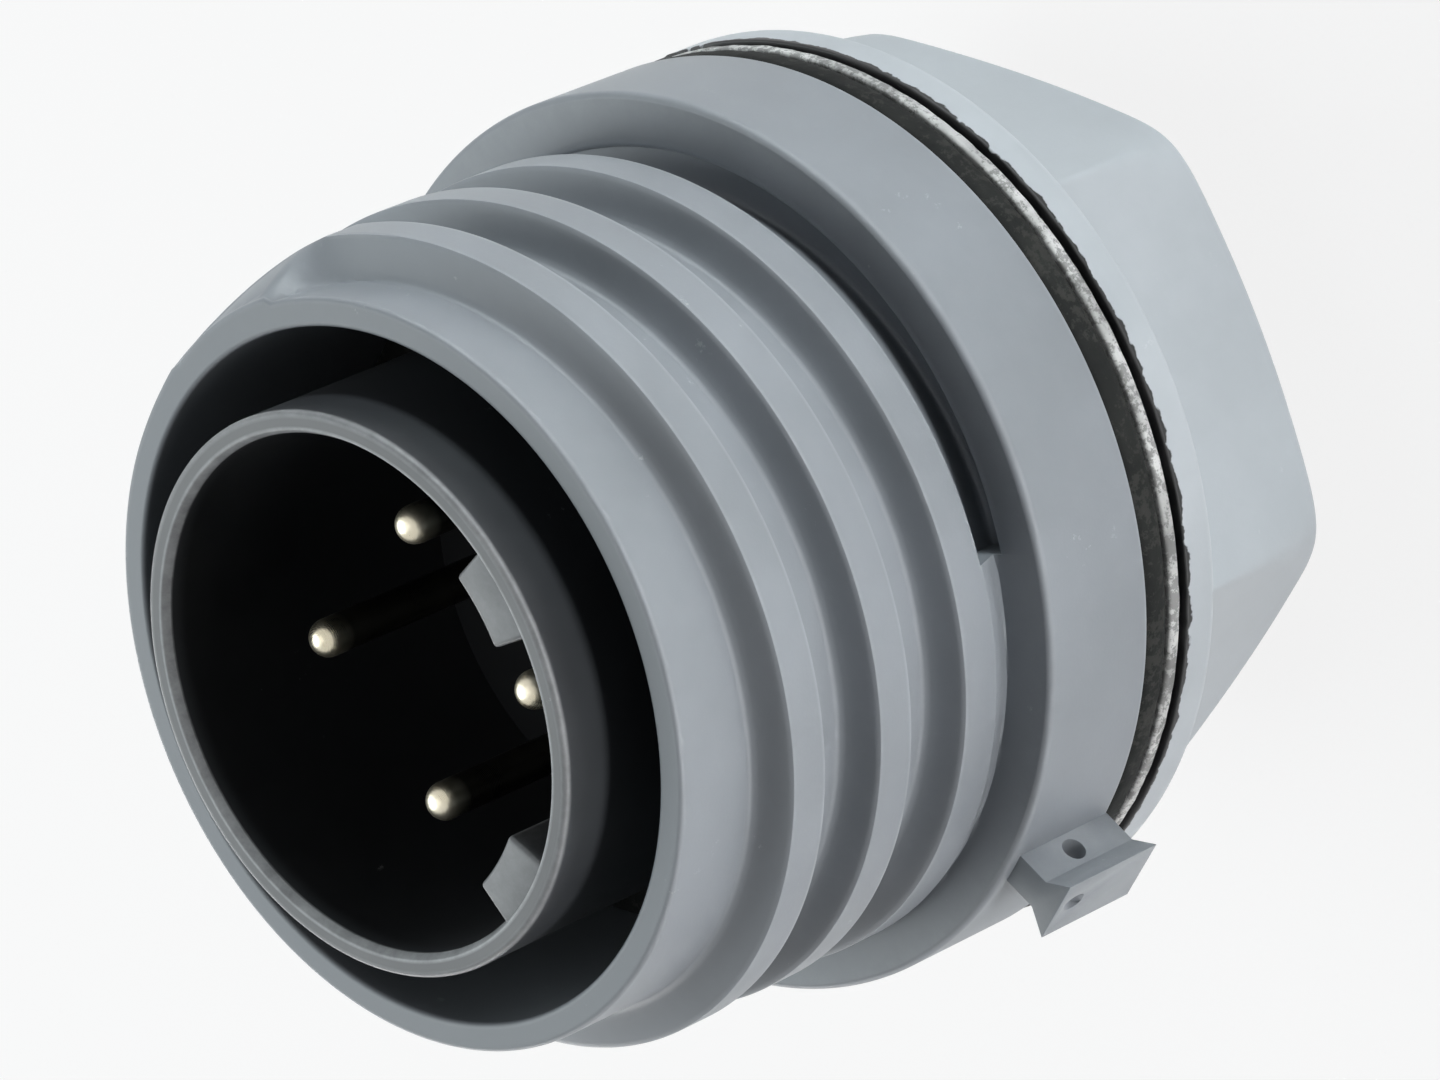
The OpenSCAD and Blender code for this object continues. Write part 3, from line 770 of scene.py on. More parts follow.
# The worn colour serves dust, scuffs and corners; on the corners it is partly a painted highlight.
def moulded_plastic(name, dark, light, worn, roughness=0.40, grain_scale=5200.0, grain_mm=0.012,
                    wear_and_highlight=0.35, gap_shade_mm=None, scuffed_mm=None):
    finish = Finish(name)
    grain = finish.effect(MOULDED_GRAIN, Grain_Scale=grain_scale, Cloud_Scale=95.0)
    edge = finish.effect(WEAR_AND_HIGHLIGHT_EDGE, From=WEAR_AND_HIGHLIGHT_FROM, To=WEAR_AND_HIGHLIGHT_TO)
    dust = finish.effect(SETTLED_DUST, Scale=900.0, Amount=0.29)
    tone = finish.blend(grain["Cloud"], dark, light)
    if scuffed_mm is not None:
        front = ((finish.along_axis() / MM - scuffed_mm) / SCUFF_FADE).clamped()
        tone = finish.blend(front * SCUFF_SHARE, tone, worn)
    # Paler corners: partly wear, partly a painted highlight along the edges.
    tone = finish.blend((edge["Mask"] * wear_and_highlight).clamped(), tone, worn)
    tone = finish.blend(dust["Mask"] * DUST_SHARE, tone, worn)
    # Painted shade: the seat in front of the collar turns near black, with a ragged edge, for the
    # shadow in the gap between washer and collar.
    if gap_shade_mm is not None:
        ragged = noise_value(finish.tree, finish.vector, GAP_SHADE_SCALE, 3.0) - 0.5
        over = (finish.along_axis() / MM - gap_shade_mm + ragged * GAP_SHADE_RAGGED) / GAP_SHADE_EDGE
        tone = finish.blend(over.clamped(), tone, GAP_SHADE_TONE)
    finish.feed("Base Color", tone)
    uneven = grain["Cloud"] * CLOUD_DULLS + dust["Mask"] * DUST_DULLS
    finish.feed("Roughness", uneven + roughness)
    finish.bump(grain["Height"], grain_mm, MOULD_BUMP)
    print("finish:", name)
    return finish.material


SHELL_PLASTIC = moulded_plastic(
    "shell_plastic_satin", (0.204, 0.220, 0.239), (0.234, 0.252, 0.274), (0.42, 0.44, 0.46)
)
# Painted light: the nut is a paler copy of the shell's plastic, standing in for the stronger light
# and reflections that it catches.
NUT_PLASTIC_PAINTED_PALER = moulded_plastic(
    "nut_plastic_satin_painted_paler", (0.395, 0.422, 0.448), (0.440, 0.468, 0.496), (0.54, 0.56, 0.58),
    gap_shade_mm=NUT_TOP - GAP_SHADE_DEPTH,
)
# Partly painted shade: the near-black tone is the carrier's own dark plastic and also stands in for
# the shade deep inside the shroud.
CARRIER_PLASTIC_WITH_SHADE = moulded_plastic(
    "carrier_plastic_satin_with_shade", (0.026, 0.028, 0.031), (0.034, 0.037, 0.041), (0.40, 0.41, 0.42),
    roughness=0.36, grain_scale=6000.0, grain_mm=0.008, wear_and_highlight=1.6,
    scuffed_mm=SHROUD_TOP - SCUFF_DEPTH,
)

# %% [markdown]
# ## Rubber, nylon and metals
# The gasket is matt black rubber that has picked up grey dust. The washer is natural nylon with
# a scuffed, mottled rim. The contacts are turned and plated, so their roughness runs in fine
# rings. Only their tips keep the plated tone; below the tips the colour turns much darker. The
# screws are zinc-plated and the clip is dull spring steel.

# %% Rubber and nylon
RUBBER_DUST, RUBBER_DUST_SHARE = (0.045, 0.045, 0.041), 0.45
NYLON_DIRT, NYLON_DIRT_SHARE = (0.11, 0.11, 0.108), 0.7


def dusty_rubber():
    finish = Finish("black_rubber_dusty", specular=0.15)
    grain = finish.effect(MOULDED_GRAIN, Grain_Scale=2600.0, Cloud_Scale=240.0)
    dust = finish.effect(SETTLED_DUST, Scale=1900.0, Amount=0.45)
    tone = finish.blend(grain["Cloud"], (0.005, 0.006, 0.006), (0.018, 0.019, 0.018))
    tone = finish.blend(dust["Mask"] * RUBBER_DUST_SHARE, tone, RUBBER_DUST)
    finish.feed("Base Color", tone)
    finish.feed("Roughness", grain["Cloud"] * 0.15 + 0.65)
    finish.bump(grain["Height"], depth_mm=0.05, strength=0.6)
    return finish.material


def scuffed_nylon():
    finish = Finish("nylon_scuffed")
    grain = finish.effect(MOULDED_GRAIN, Grain_Scale=3200.0, Cloud_Scale=300.0)
    dust = finish.effect(SETTLED_DUST, Scale=2300.0, Amount=0.52)
    tone = finish.blend(grain["Cloud"], (0.30, 0.30, 0.295), (0.62, 0.62, 0.61))
    tone = finish.blend(dust["Mask"] * NYLON_DIRT_SHARE, tone, NYLON_DIRT)
    finish.feed("Base Color", tone)
    finish.feed("Roughness", dust["Mask"] * 0.2 + 0.5)
    finish.bump(grain["Height"], depth_mm=0.03, strength=0.5)
    return finish.material


RUBBER = dusty_rubber()
NYLON = scuffed_nylon()
print("finishes:", RUBBER.name, NYLON.name)

# %% Metals
DARK_BELOW_TIP, DARK_BELOW_SHARE, DARK_BELOW_FADE = (0.03, 0.028, 0.025), 0.93, 1.2
BRIGHT_TIP = 0.7
RINGS_DULL, PLATE_DULLS, RING_BUMP = 0.06, 0.1, 0.5


def turned_metal(name, dark, light, roughness, ring_scale=0.0, bright_from_mm=None):
    finish = Finish(name, metallic=1.0)
    grain = finish.effect(MOULDED_GRAIN, Grain_Scale=4200.0, Cloud_Scale=420.0)
    rings = (finish.along_axis() * ring_scale).math("SINE") * 0.5 + 0.5
    tone = finish.blend(grain["Cloud"], dark, light)
    if bright_from_mm is not None:
        # Below the tip the colour turns much darker.
        darker_below = ((finish.along_axis() / MM * -1.0 + bright_from_mm) / DARK_BELOW_FADE).clamped()
        tone = finish.blend(darker_below * DARK_BELOW_SHARE, tone, DARK_BELOW_TIP)
    finish.feed("Base Color", tone)
    finish.feed("Roughness", rings * RINGS_DULL + grain["Cloud"] * PLATE_DULLS + roughness)
    finish.bump(rings * RING_BUMP + grain["Height"], depth_mm=0.004, strength=0.3)
    print("finish:", name)
    return finish.material


CONTACT_METAL = turned_metal(
    "plated_contact", (0.72, 0.66, 0.50), (0.84, 0.79, 0.64), 0.24, 60000.0, PIN_TIP - BRIGHT_TIP
)
SCREW_METAL = turned_metal("zinc_plate", (0.50, 0.52, 0.54), (0.62, 0.63, 0.65), 0.32)
CLIP_METAL = turned_metal("spring_steel_dull", (0.26, 0.27, 0.28), (0.36, 0.37, 0.38), 0.45)

# %% [markdown]
# ## The housing
# One moulding: a thin front ring with the coarse thread, the flange, and the rear barrel.
# Everything that is simply round is turned first, in two open skins that leave out the
# threaded walls. Then `thread_wall` runs twice on it, and each run welds one wall into the gap.

# %% Turn the round parts of the housing
FINE_TOP, FINE_BOTTOM, BARREL_LEAD = -0.6, BARREL_END + 0.8, 0.3
LIP_R, RIM_EDGE_R, BARREL_EDGE_R = 0.25, 0.35, 0.25
CLIP_GROOVE_R, CLIP_REAR, CLIP_FRONT = 14.35, BARREL_END + 1.7, BARREL_END + 3.0
LIP_FLAT, RIM_FLAT = 0.05, 0.01
RING_FACE_R = SHELL_BORE_R + LIP_R + LIP_FLAT
FLANGE_FACE_R = FLANGE_R - RIM_EDGE_R - RIM_FLAT

front_section = rounded([
    (RING_FACE_R, SHELL_TOP, 0), (SHELL_BORE_R, SHELL_TOP, LIP_R),
    (SHELL_BORE_R, PLUG_FLOOR, SOFT), (BARREL_BORE_R, PLUG_FLOOR, BLUNT),
    (BARREL_BORE_R, CLIP_FRONT, CRISP), (CLIP_GROOVE_R, CLIP_FRONT, CRISP),
    (CLIP_GROOVE_R, CLIP_REAR, CRISP), (BARREL_BORE_R, CLIP_REAR, CRISP),
    (BARREL_BORE_R, BARREL_END, BARREL_EDGE_R), (BARREL_MINOR_R - BARREL_LEAD, BARREL_END, EASED),
    (BARREL_MINOR_R, FINE_BOTTOM, 0),
])
rear_section = rounded([
    (BARREL_MINOR_R, FINE_TOP, 0), (BARREL_MINOR_R, 0.0, EASED), (FLANGE_R, 0.0, BLUNT),
    (FLANGE_R, FLANGE_T, RIM_EDGE_R), (FLANGE_FACE_R, FLANGE_T, 0),
])
columns_of_housing = even_azimuths(COLUMNS, SEAM_AZIMUTH)
points, faces = turned(front_section, columns_of_housing)
more_points, more_faces = turned(rear_section, columns_of_housing)
faces += [tuple(v + len(points) for v in f) for f in more_faces]
housing = skin("housing_shell", points + more_points, faces)
print("turned skins:", len(housing.data.polygons), "faces")

# %% Weld the two threads in
AT_ONCE = 1e-6
START_BACK = 3.85


def fine_thread(piece, material, root_r, crest_r, bottom, top, fade, seam):
    """The 2 mm thread that barrel and nut share. It fades out at both ends."""
    threaded(piece, material, {
        "Rows per Pitch": 6, "Pitch": 2.0, "Root Radius": root_r, "Crest Radius": crest_r,
        "Crest Width": 0.4, "Flank": 30, "Root Round": 0.25, "Edge Round": 0.25,
        "Start Height": 10, "Rise": AT_ONCE, "Sink": AT_ONCE, "Seam Azimuth": seam,
        "Bottom": bottom, "Top": top, "Top Radius": root_r, "Foot Radius": root_r,
        "Bottom Fade": fade, "Top Fade": fade,
    })


threaded(housing, SHELL_PLASTIC, {
    "Rows per Pitch": 46, "Pitch": 6.2, "Root Radius": ROOT_R, "Crest Radius": CREST_R,
    "Crest Width": 2.3, "Flank": 13, "Root Round": 1.6, "Edge Round": 0.6,
    "Start Azimuth": 18, "Start Height": SHELL_TOP - START_BACK, "Rise": 49, "Sink": 54,
    "Start Fill": 45, "Seam Azimuth": SEAM_AZIMUTH, "Fill": 125, "Fill Slope": 0.45,
    "Bottom": FLANGE_T, "Below": 2.4, "Top": SHELL_TOP, "Top Round": LIP_R,
    "Top Radius": RING_FACE_R, "Foot Round": 0.1, "Foot Radius": FLANGE_FACE_R,
    "Bottom Fade": AT_ONCE, "Top Fade": AT_ONCE,
})
fine_thread(
    housing, SHELL_PLASTIC, BARREL_MINOR_R, BARREL_R, FINE_BOTTOM, FINE_TOP, 1.0, SEAM_AZIMUTH
)
print("housing with threads:", len(housing.data.polygons), "faces")

# %% [markdown]
# ## The tether lug
# A dovetail lug stands on the flange's rim, drilled across for the cord of a dust cap. Its
# outline is extruded along the axis, a Boolean drills the hole and a small sink mark, and a
# Bevel softens the edges. It is then moved into the housing's mesh, since both are one moulding.

# %% Helpers for drilled and extruded parts
ROD_SIDES = 40
CLEAR = 1


def about_axis(azimuth):
    return Matrix.Rotation(math.radians(azimuth), 4, "Z")


def drilled(piece, cutter):
    modifier = piece.modifiers.new("drill", "BOOLEAN")
    modifier.operation = "DIFFERENCE"
    modifier.solver = "EXACT"
    modifier.object = cutter
    applied(piece)
    bpy.data.objects.remove(cutter)


def rod(name, start, end, radius):
    """A closed cylinder between two points, in millimetres."""
    along = Vector(end) - Vector(start)
    section = [(0, 0), (radius, 0), (radius, along.length), (0, along.length)]
    points, faces = turned([Vector(p) for p in section], even_azimuths(ROD_SIDES))
    spin = along.to_track_quat("Z", "Y").to_matrix()
    return skin(name, [spin @ Vector(p) + Vector(start) for p in points], faces)


def extruded(name, outline, low, high):
    """A closed prism over an outline of (x, y) points, in millimetres."""
    count = len(outline)
    points = [(x, y, z) for z in (low, high) for x, y in outline]
    ends = [tuple(range(count)), tuple(range(count, 2 * count))]
    return skin(name, points, between(2, count) + ends)


def softened(piece, width_mm, segments, angle_deg):
    modifier = piece.modifiers.new("soften", "BEVEL")
    modifier.width = width_mm * MM
    modifier.segments = segments
    modifier.limit_method = "ANGLE"
    modifier.angle_limit = math.radians(angle_deg)
    applied(piece)


def moved_into(host, guest, azimuth):
    """Turns the guest to its azimuth, adds its mesh to the host's and removes the guest."""
    guest.data.transform(about_axis(azimuth))
    bm = bmesh.new()
    bm.from_mesh(host.data)
    bm.from_mesh(guest.data)
    bm.to_mesh(host.data)
    bm.free()
    bpy.data.objects.remove(guest)


# %% Lug
LUG_AZIMUTH, LUG_L, LUG_H, LUG_SINK = -170.2, 6.6, 3.2, 0.6
STEM_W, STEM_H, LIP_W = 1.9, 1.9, 3.9
HOLE_X, HOLE_Z, HOLE_R, HOLE_REACH = FLANGE_R + 0.95, 3.5, 0.65, 4
MARK_FROM, MARK_TO, MARK_R = (FLANGE_R + 2.85, 0.2, 5.0), (FLANGE_R + 4.5, 0.2, 6.85), 0.5

half_outline = [
    (FLANGE_R - LUG_SINK, STEM_W / 2), (FLANGE_R + STEM_H, STEM_W / 2),
    (FLANGE_R + LUG_H, LIP_W / 2),
]
other_half = [(x, -y) for x, y in reversed(half_outline)]
lug = extruded("lug", half_outline + other_half, 0.0, LUG_L)
drilled(lug, rod("hole", (HOLE_X, -HOLE_REACH, HOLE_Z), (HOLE_X, HOLE_REACH, HOLE_Z), HOLE_R))
drilled(lug, rod("mark", MARK_FROM, MARK_TO, MARK_R))
softened(lug, EASED, segments=2, angle_deg=35)
moved_into(housing, lug, LUG_AZIMUTH)
finish_piece(housing, SHELL_PLASTIC, "body", ["housing"])

# %% [markdown]
# ## The pin carrier
# A second moulding sits inside the shell: a thin shroud in front, a floor that holds the
# contacts, and a terminal block behind. It is turned, then the wells for the terminals, the
# screw holes and the blind core are drilled with flared cutters, which leaves a small
# chamfer at each mouth. Two keys run down the inside of the shroud.

# %% Turn the carrier
SHROUD_R, SHROUD_IN_R, SHROUD_EDGE = 14.6, 13.4, 0.28
LEAD_W, LEAD_H, LEAD_EDGE = 0.25, 0.4, 0.12
SEAT_Z, SEAT_R = PLUG_FLOOR + 2.5, 17.8
SPIGOT_R, BLOCK_R, BLOCK_EDGE = 13.55, 12.4, 0.5
SHOULDER_Z = BARREL_END + 3.0
CARRIER_COLUMNS = 224

carrier_section = rounded([
    (0.0, BLOCK_END, 0), (BLOCK_R, BLOCK_END, BLOCK_EDGE), (BLOCK_R, SHOULDER_Z, EASED),
    (SPIGOT_R, SHOULDER_Z, EASED), (SPIGOT_R, PLUG_FLOOR, CRISP), (SEAT_R, PLUG_FLOOR, EASED),
    (SEAT_R, SEAT_Z, SOFT), (SHROUD_R, SEAT_Z, ROUND), (SHROUD_R, SHROUD_TOP, SHROUD_EDGE),
    (SHROUD_IN_R + LEAD_W, SHROUD_TOP, LEAD_EDGE), (SHROUD_IN_R, SHROUD_TOP - LEAD_H, LEAD_EDGE),
    (SHROUD_IN_R, SEAT_Z, 0), (0.0, SEAT_Z, 0),
])
carrier = skin("carrier_moulding", *turned(carrier_section, even_azimuths(CARRIER_COLUMNS)))
print("carrier turned:", len(carrier.data.polygons), "faces")

# %% Drill the carrier
PIN_CIRCLE_R, PIN_AZIMUTHS = 7.3, (45, 135, 225, 315)
WELL_R, WELL_TOP, WELL_FLARE, WELL_SIDES = 3.05, CONTACT_END + 16.05, 0.2, 64
SCREW_Z, SCREW_HOLE_R = BLOCK_END + 2.1, 1.4
CORE_R, CORE_TOP, CORE_FLARE = 2.5, BLOCK_END + 20, 0.3


def flared_well(name, radius, depth_top, flare):
    """A cutter that stands clear of the block and widens at the mouth."""
    section = [
        (0, BLOCK_END - CLEAR), (radius + flare + CLEAR, BLOCK_END - CLEAR),
        (radius, BLOCK_END + flare), (radius, depth_top), (0, depth_top),
    ]
    return skin(name, *turned([Vector(p) for p in section], even_azimuths(WELL_SIDES)))


def on_pin_circle(piece, azimuth):
    outwards = Matrix.Translation(Vector((PIN_CIRCLE_R, 0, 0)) * MM)
    piece.data.transform(about_axis(azimuth) @ outwards)
    return piece


for azimuth in PIN_AZIMUTHS:
    drilled(carrier, on_pin_circle(flared_well("well", WELL_R, WELL_TOP, WELL_FLARE), azimuth))
    hole = rod("screw_hole", (0, 0, SCREW_Z), (BLOCK_R, 0, SCREW_Z), SCREW_HOLE_R)
    drilled(carrier, on_pin_circle(hole, azimuth))
drilled(carrier, flared_well("core", CORE_R, CORE_TOP, CORE_FLARE))
print("carrier drilled:", len(carrier.data.polygons), "faces")

# %% Keys inside the shroud
KEY_TURN, KEY_H, KEY_SINK, KEY_BACK, KEY_EDGE = 20.0, 2.15, 0.4, 0.12, 0.25
KEY_AZIMUTHS, KEY_STEPS = (-102.0, -173.0), 6


def key_arc(radius):
    half = math.radians(KEY_TURN / 2)
    spread = [half * s / KEY_STEPS for s in range(-KEY_STEPS, KEY_STEPS + 1)]
    return [(math.cos(a) * radius, math.sin(a) * radius) for a in spread]


for azimuth in KEY_AZIMUTHS:
    outline = key_arc(SHROUD_IN_R + KEY_SINK) + key_arc(SHROUD_IN_R - KEY_H)[::-1]
    key = extruded("key", outline, SEAT_Z - KEY_SINK, SHROUD_TOP - KEY_BACK)
    softened(key, KEY_EDGE, segments=3, angle_deg=40)
    moved_into(carrier, key, azimuth)
finish_piece(carrier, CARRIER_PLASTIC_WITH_SHADE, "body", ["pin_carrier"])

# %% [markdown]
# ## Contacts and clamp screws
# Each contact is turned from bar: a round-nosed pin in front, a shank in the carrier and a
# terminal with a wire hole behind. One is turned on the axis and `copies_on_circle` sets four.
# The clamp screws are made in the same way, with a slot cut across the head.

# %% Contacts
PIN_R, SHANK_R, TERMINAL_R, WIRE_R = 1.0, 1.3, 3.0, 1.6
TERMINAL_TOP, WIRE_TOP, DRILL_POINT = CONTACT_END + 16, CONTACT_END + 10.0, 0.9
NOSE_STEPS, CONTACT_COLUMNS = 14, 56


def set_of_four(piece, metal, node):
    count = len(PIN_AZIMUTHS)
    use_tree(piece, COPIES_ON_CIRCLE, {
        "Count": count, "Circle Radius": PIN_CIRCLE_R * MM,
        "First Azimuth": math.radians(PIN_AZIMUTHS[0]), "Material": metal,
    })
    finish_piece(piece, metal, "body", ["%s_%d" % (node, k + 1) for k in range(count)])


nose = [
    Vector((PIN_R * math.cos(a), PIN_TIP - PIN_R + PIN_R * math.sin(a)))
    for a in [QUARTER * s / NOSE_STEPS for s in range(NOSE_STEPS + 1)]
]
contact_section = rounded([
    (0.0, WIRE_TOP + DRILL_POINT, 0), (WIRE_R, WIRE_TOP, 0), (WIRE_R, CONTACT_END, SOFT),
    (TERMINAL_R, CONTACT_END, ROUND), (TERMINAL_R, TERMINAL_TOP, SOFT),
    (SHANK_R, TERMINAL_TOP, 0), (SHANK_R, SEAT_Z, CRISP), (PIN_R, SEAT_Z, 0),
]) + nose
contacts = skin("contact_set", *turned(contact_section, even_azimuths(CONTACT_COLUMNS)))
set_of_four(contacts, CONTACT_METAL, "contact_pin")

# %% Clamp screws
SCREW_R, SCREW_LEAD_W, SCREW_LEAD_H, SCREW_COLUMNS = 1.2, 0.2, 0.25, 40
HEAD_SINK = 0.5
HEAD_X = BLOCK_R - HEAD_SINK - PIN_CIRCLE_R
SLOT_REACH, SLOT_HALF_W, SLOT_DEPTH = 2, 0.3, 0.8

screw_section = rounded([
    (0.0, WIRE_R, 0), (SCREW_R - SCREW_LEAD_W, WIRE_R, 0),
    (SCREW_R, WIRE_R + SCREW_LEAD_H, CRISP), (SCREW_R, HEAD_X, BLUNT), (0.0, HEAD_X, 0),
])
screws = skin("clamp_screws", *turned(screw_section, even_azimuths(SCREW_COLUMNS)))
slot_outline = [
    (-SLOT_REACH, -SLOT_HALF_W), (SLOT_REACH, -SLOT_HALF_W), (SLOT_REACH, SLOT_HALF_W),
    (-SLOT_REACH, SLOT_HALF_W),
]
drilled(screws, extruded("slot", slot_outline, HEAD_X - SLOT_DEPTH, HEAD_X + CLEAR))
lay_down = Matrix.Translation((0, 0, SCREW_Z * MM)) @ Matrix.Rotation(QUARTER, 4, "Y")
screws.data.transform(lay_down)
set_of_four(screws, SCREW_METAL, "terminal_screw")

# %% [markdown]
# ## Gasket and slip washer
# Both are flat rings. The gasket is cut from rubber sheet, so its rim is not quite true: noise
# moves the rim in and out by about a tenth of a millimetre, and its edges are worn round. The
# washer's rim is truer. Noise sampled on a circle closes on itself, so no seam shows.

# %% Rings cut from sheet
RING_BORE_R, RING_COLUMNS = 16.2, 360
RIM_ZONE, WAVE_ROUND, WAVE_ALONG, WAVE_FINER = 0.5, 0.9, 2.2, 3.1


def cut_ring(name, node, edge_r, ragged_mm):
    low, high = foot_mm(node), top_mm(node)
    outer_r = reach_mm(node) - ragged_mm
    section = rounded([
        (RING_BORE_R, low, EASED), (outer_r, low, edge_r), (outer_r, high, edge_r),
        (RING_BORE_R, high, EASED),
    ], closed=True)
    points, faces = turned(section, even_azimuths(RING_COLUMNS), closed=True)
    worn = []
    for x, y, z in points:
        radius = math.hypot(x, y)
        if radius > outer_r - RIM_ZONE:
            spot = Vector((x * WAVE_ROUND, y * WAVE_ROUND, z * WAVE_ALONG))
            move = noise.noise(spot) * 0.5 + noise.noise(spot * WAVE_FINER) * 0.5
            grow = 1 + ragged_mm * max(-1.0, min(1.0, move)) / radius
            x, y = x * grow, y * grow
        worn.append((x, y, z))
    return skin(name, worn, faces)


gasket = cut_ring("gasket_ring", "panel_gasket", edge_r=0.7, ragged_mm=0.12)
finish_piece(gasket, RUBBER, "body", ["panel_gasket"])
washer = cut_ring("slip_washer_ring", "slip_washer", edge_r=0.2, ragged_mm=0.07)
finish_piece(washer, NYLON, "washer", ["slip_washer"])

# %% [markdown]
# ## The collared nut
# The nut is a hexagon with a round collar in front and its rear corners turned off by a cone.
# Each ring of the skin is a row of points whose radius follows a rule: on the hexagon it is
# the smaller of the flat and the cone, with a smooth minimum so that edges are rounded as a
# mould leaves them. Columns crowd towards the corners and are even again at the bore. The
# collar's rim stands forward a little, and noise chips it, as on a nut that tools have worn.

# %% The rule of the hexagon
COLLAR_R, COLLAR_T, SEAT_H, SEAT_INSET = FLANGE_R, 1.9, 0.55, 1.7
NUT_SEAT_R = COLLAR_R - SEAT_INSET
COLLAR_FRONT = NUT_TOP - SEAT_H
COLLAR_REAR = COLLAR_FRONT - COLLAR_T
FLAT_R, FLAT_DRAFT, NUT_FACE_R = 19.2, 0.2, 18.1
CONE_SLOPE = math.tan(math.radians(20))
NUT_CORNER, CORNER_CROWD = -83.3, 0.8
CORNER_ROUND, REAR_CORNER_ROUND, CONE_ROUND = 0.3, 5.2, 0.9
PER_FLAT = COLUMNS // 6


def smooth_least(a, b, reach):
    near = max(reach - abs(a - b), 0.0) / reach
    return min(a, b) - near ** 3 * reach / 6


def nut_columns(crowd):
    """Azimuth of each column, and its angle from the middle of its flat."""
    places = []
    for k in range(COLUMNS):
        flat, t = divmod(k / PER_FLAT, 1.0)
        t -= crowd * math.sin(math.tau * t) / math.tau
        places.append((math.radians(NUT_CORNER + 60 * (flat + t)), math.radians(60 * t - 30)))
    return places


def nut_ring(z, crowd, radius_of):
    return [
        (radius_of(off) * math.cos(a), radius_of(off) * math.sin(a), z)
        for a, off in nut_columns(crowd)
    ]


def hexagon_at(z, grow=0.0):
    back = (COLLAR_REAR - z) / (COLLAR_REAR - NUT_END)
    flat = FLAT_R - FLAT_DRAFT * back
    corner = CORNER_ROUND + (REAR_CORNER_ROUND - CORNER_ROUND) * back ** 3
    cone = NUT_FACE_R + (z - NUT_END) / CONE_SLOPE

    def radius(off):
        beside = flat / math.cos(math.radians(60) - abs(off))
        hexagon = smooth_least(flat / math.cos(off), beside, corner)
        return smooth_least(hexagon, cone, CONE_ROUND) + grow

    return radius


def round_at(radius):
    return lambda off: radius


# %% Front of the nut: mouth, seat and collar
NUT_BORE_R, MOUTH = 16.06, 0.8
RIM_LIFT, RIM_W, RIM_CHIP, RIM_EDGE = 0.28, 0.6, 0.16, 0.12
CHIP_SHARE, CHIP_COARSE, CHIP_FINE, CHIP_LAYER = 0.3, 0.7, 1.9, 3.0
CROWD_FROM_R = NUT_SEAT_R + 0.5
COLLAR_FOOT_R = FLAT_R / math.cos(math.radians(30)) + 0.9


def chipped(ring, depth):
    """Takes a little off a ring's points by noise, which closes on itself round the axis."""
    moved = []
    for x, y, z in ring:
        spot = Vector((x, y, CHIP_LAYER))
        waves = noise.noise(spot * CHIP_COARSE) * 0.5 + noise.noise(spot * CHIP_FINE) * 0.6
        chip = max(0.0, CHIP_SHARE + waves) * depth
        shrink = 1 - chip / 2 / math.hypot(x, y)
        moved.append((x * shrink, y * shrink, z - chip))
    return moved


front_line = rounded([
    (NUT_BORE_R, NUT_TOP - MOUTH, 0), (NUT_BORE_R + MOUTH, NUT_TOP, EASED),
    (NUT_SEAT_R, NUT_TOP, EASED), (NUT_SEAT_R, COLLAR_FRONT, EASED),
    (COLLAR_R - RIM_W, COLLAR_FRONT, 0), (COLLAR_R - RIM_W, COLLAR_FRONT + RIM_LIFT, CRISP),
    (COLLAR_R, COLLAR_FRONT + RIM_LIFT, RIM_EDGE), (COLLAR_R, COLLAR_REAR, ROUND),
    (COLLAR_FOOT_R, COLLAR_REAR, 0),
])
rings = []
for p in front_line:
    crowd = CORNER_CROWD if p.x > CROWD_FROM_R else 0.0
    ring = nut_ring(p.y, crowd, round_at(p.x))
    rings.append(chipped(ring, RIM_CHIP) if p.y > COLLAR_FRONT and crowd else ring)
print("front of the nut:", len(rings), "rings")

# %% Hexagon, rear face and thread of the nut
BASE_ROUND, BASE_ROWS = 0.3, 4
FLATS_FROM = COLLAR_REAR - BASE_ROUND
CONE_FROM, REAR_EDGE_Z = NUT_END + 2.6, NUT_END + 0.15
FLAT_ROWS, CONE_ROWS = 6, 40
REAR_EDGE_STEPS = ((0.07, 0.02), (0.12, 0.07), (0.15, 0.18))
REAR_FACE_R, MOUTH_STEP = 18.0, 0.07
NUT_THREAD_H, NUT_THREAD_FADE = 0.85, 0.9

for step in range(BASE_ROWS + 1):
    turn = QUARTER * step / BASE_ROWS
    z = COLLAR_REAR - BASE_ROUND * (1 - math.cos(turn))
    rings.append(nut_ring(z, CORNER_CROWD, hexagon_at(z, BASE_ROUND * (1 - math.sin(turn)))))
for start, end, rows in ((FLATS_FROM, CONE_FROM, FLAT_ROWS), (CONE_FROM, REAR_EDGE_Z, CONE_ROWS)):
    for step in range(1, rows + 1):
        z = start - (start - end) * step / rows
        rings.append(nut_ring(z, CORNER_CROWD, hexagon_at(z)))
for drop, shrink in REAR_EDGE_STEPS:
    rings.append(nut_ring(REAR_EDGE_Z - drop, CORNER_CROWD, hexagon_at(REAR_EDGE_Z, -shrink)))
mouth_r = NUT_BORE_R + MOUTH
for radius, z in ((REAR_FACE_R, NUT_END), (mouth_r + EASED, NUT_END),
                  (mouth_r - MOUTH_STEP, NUT_END + MOUTH_STEP), (NUT_BORE_R, NUT_END + MOUTH)):
    rings.append(nut_ring(z, 0.0, round_at(radius)))

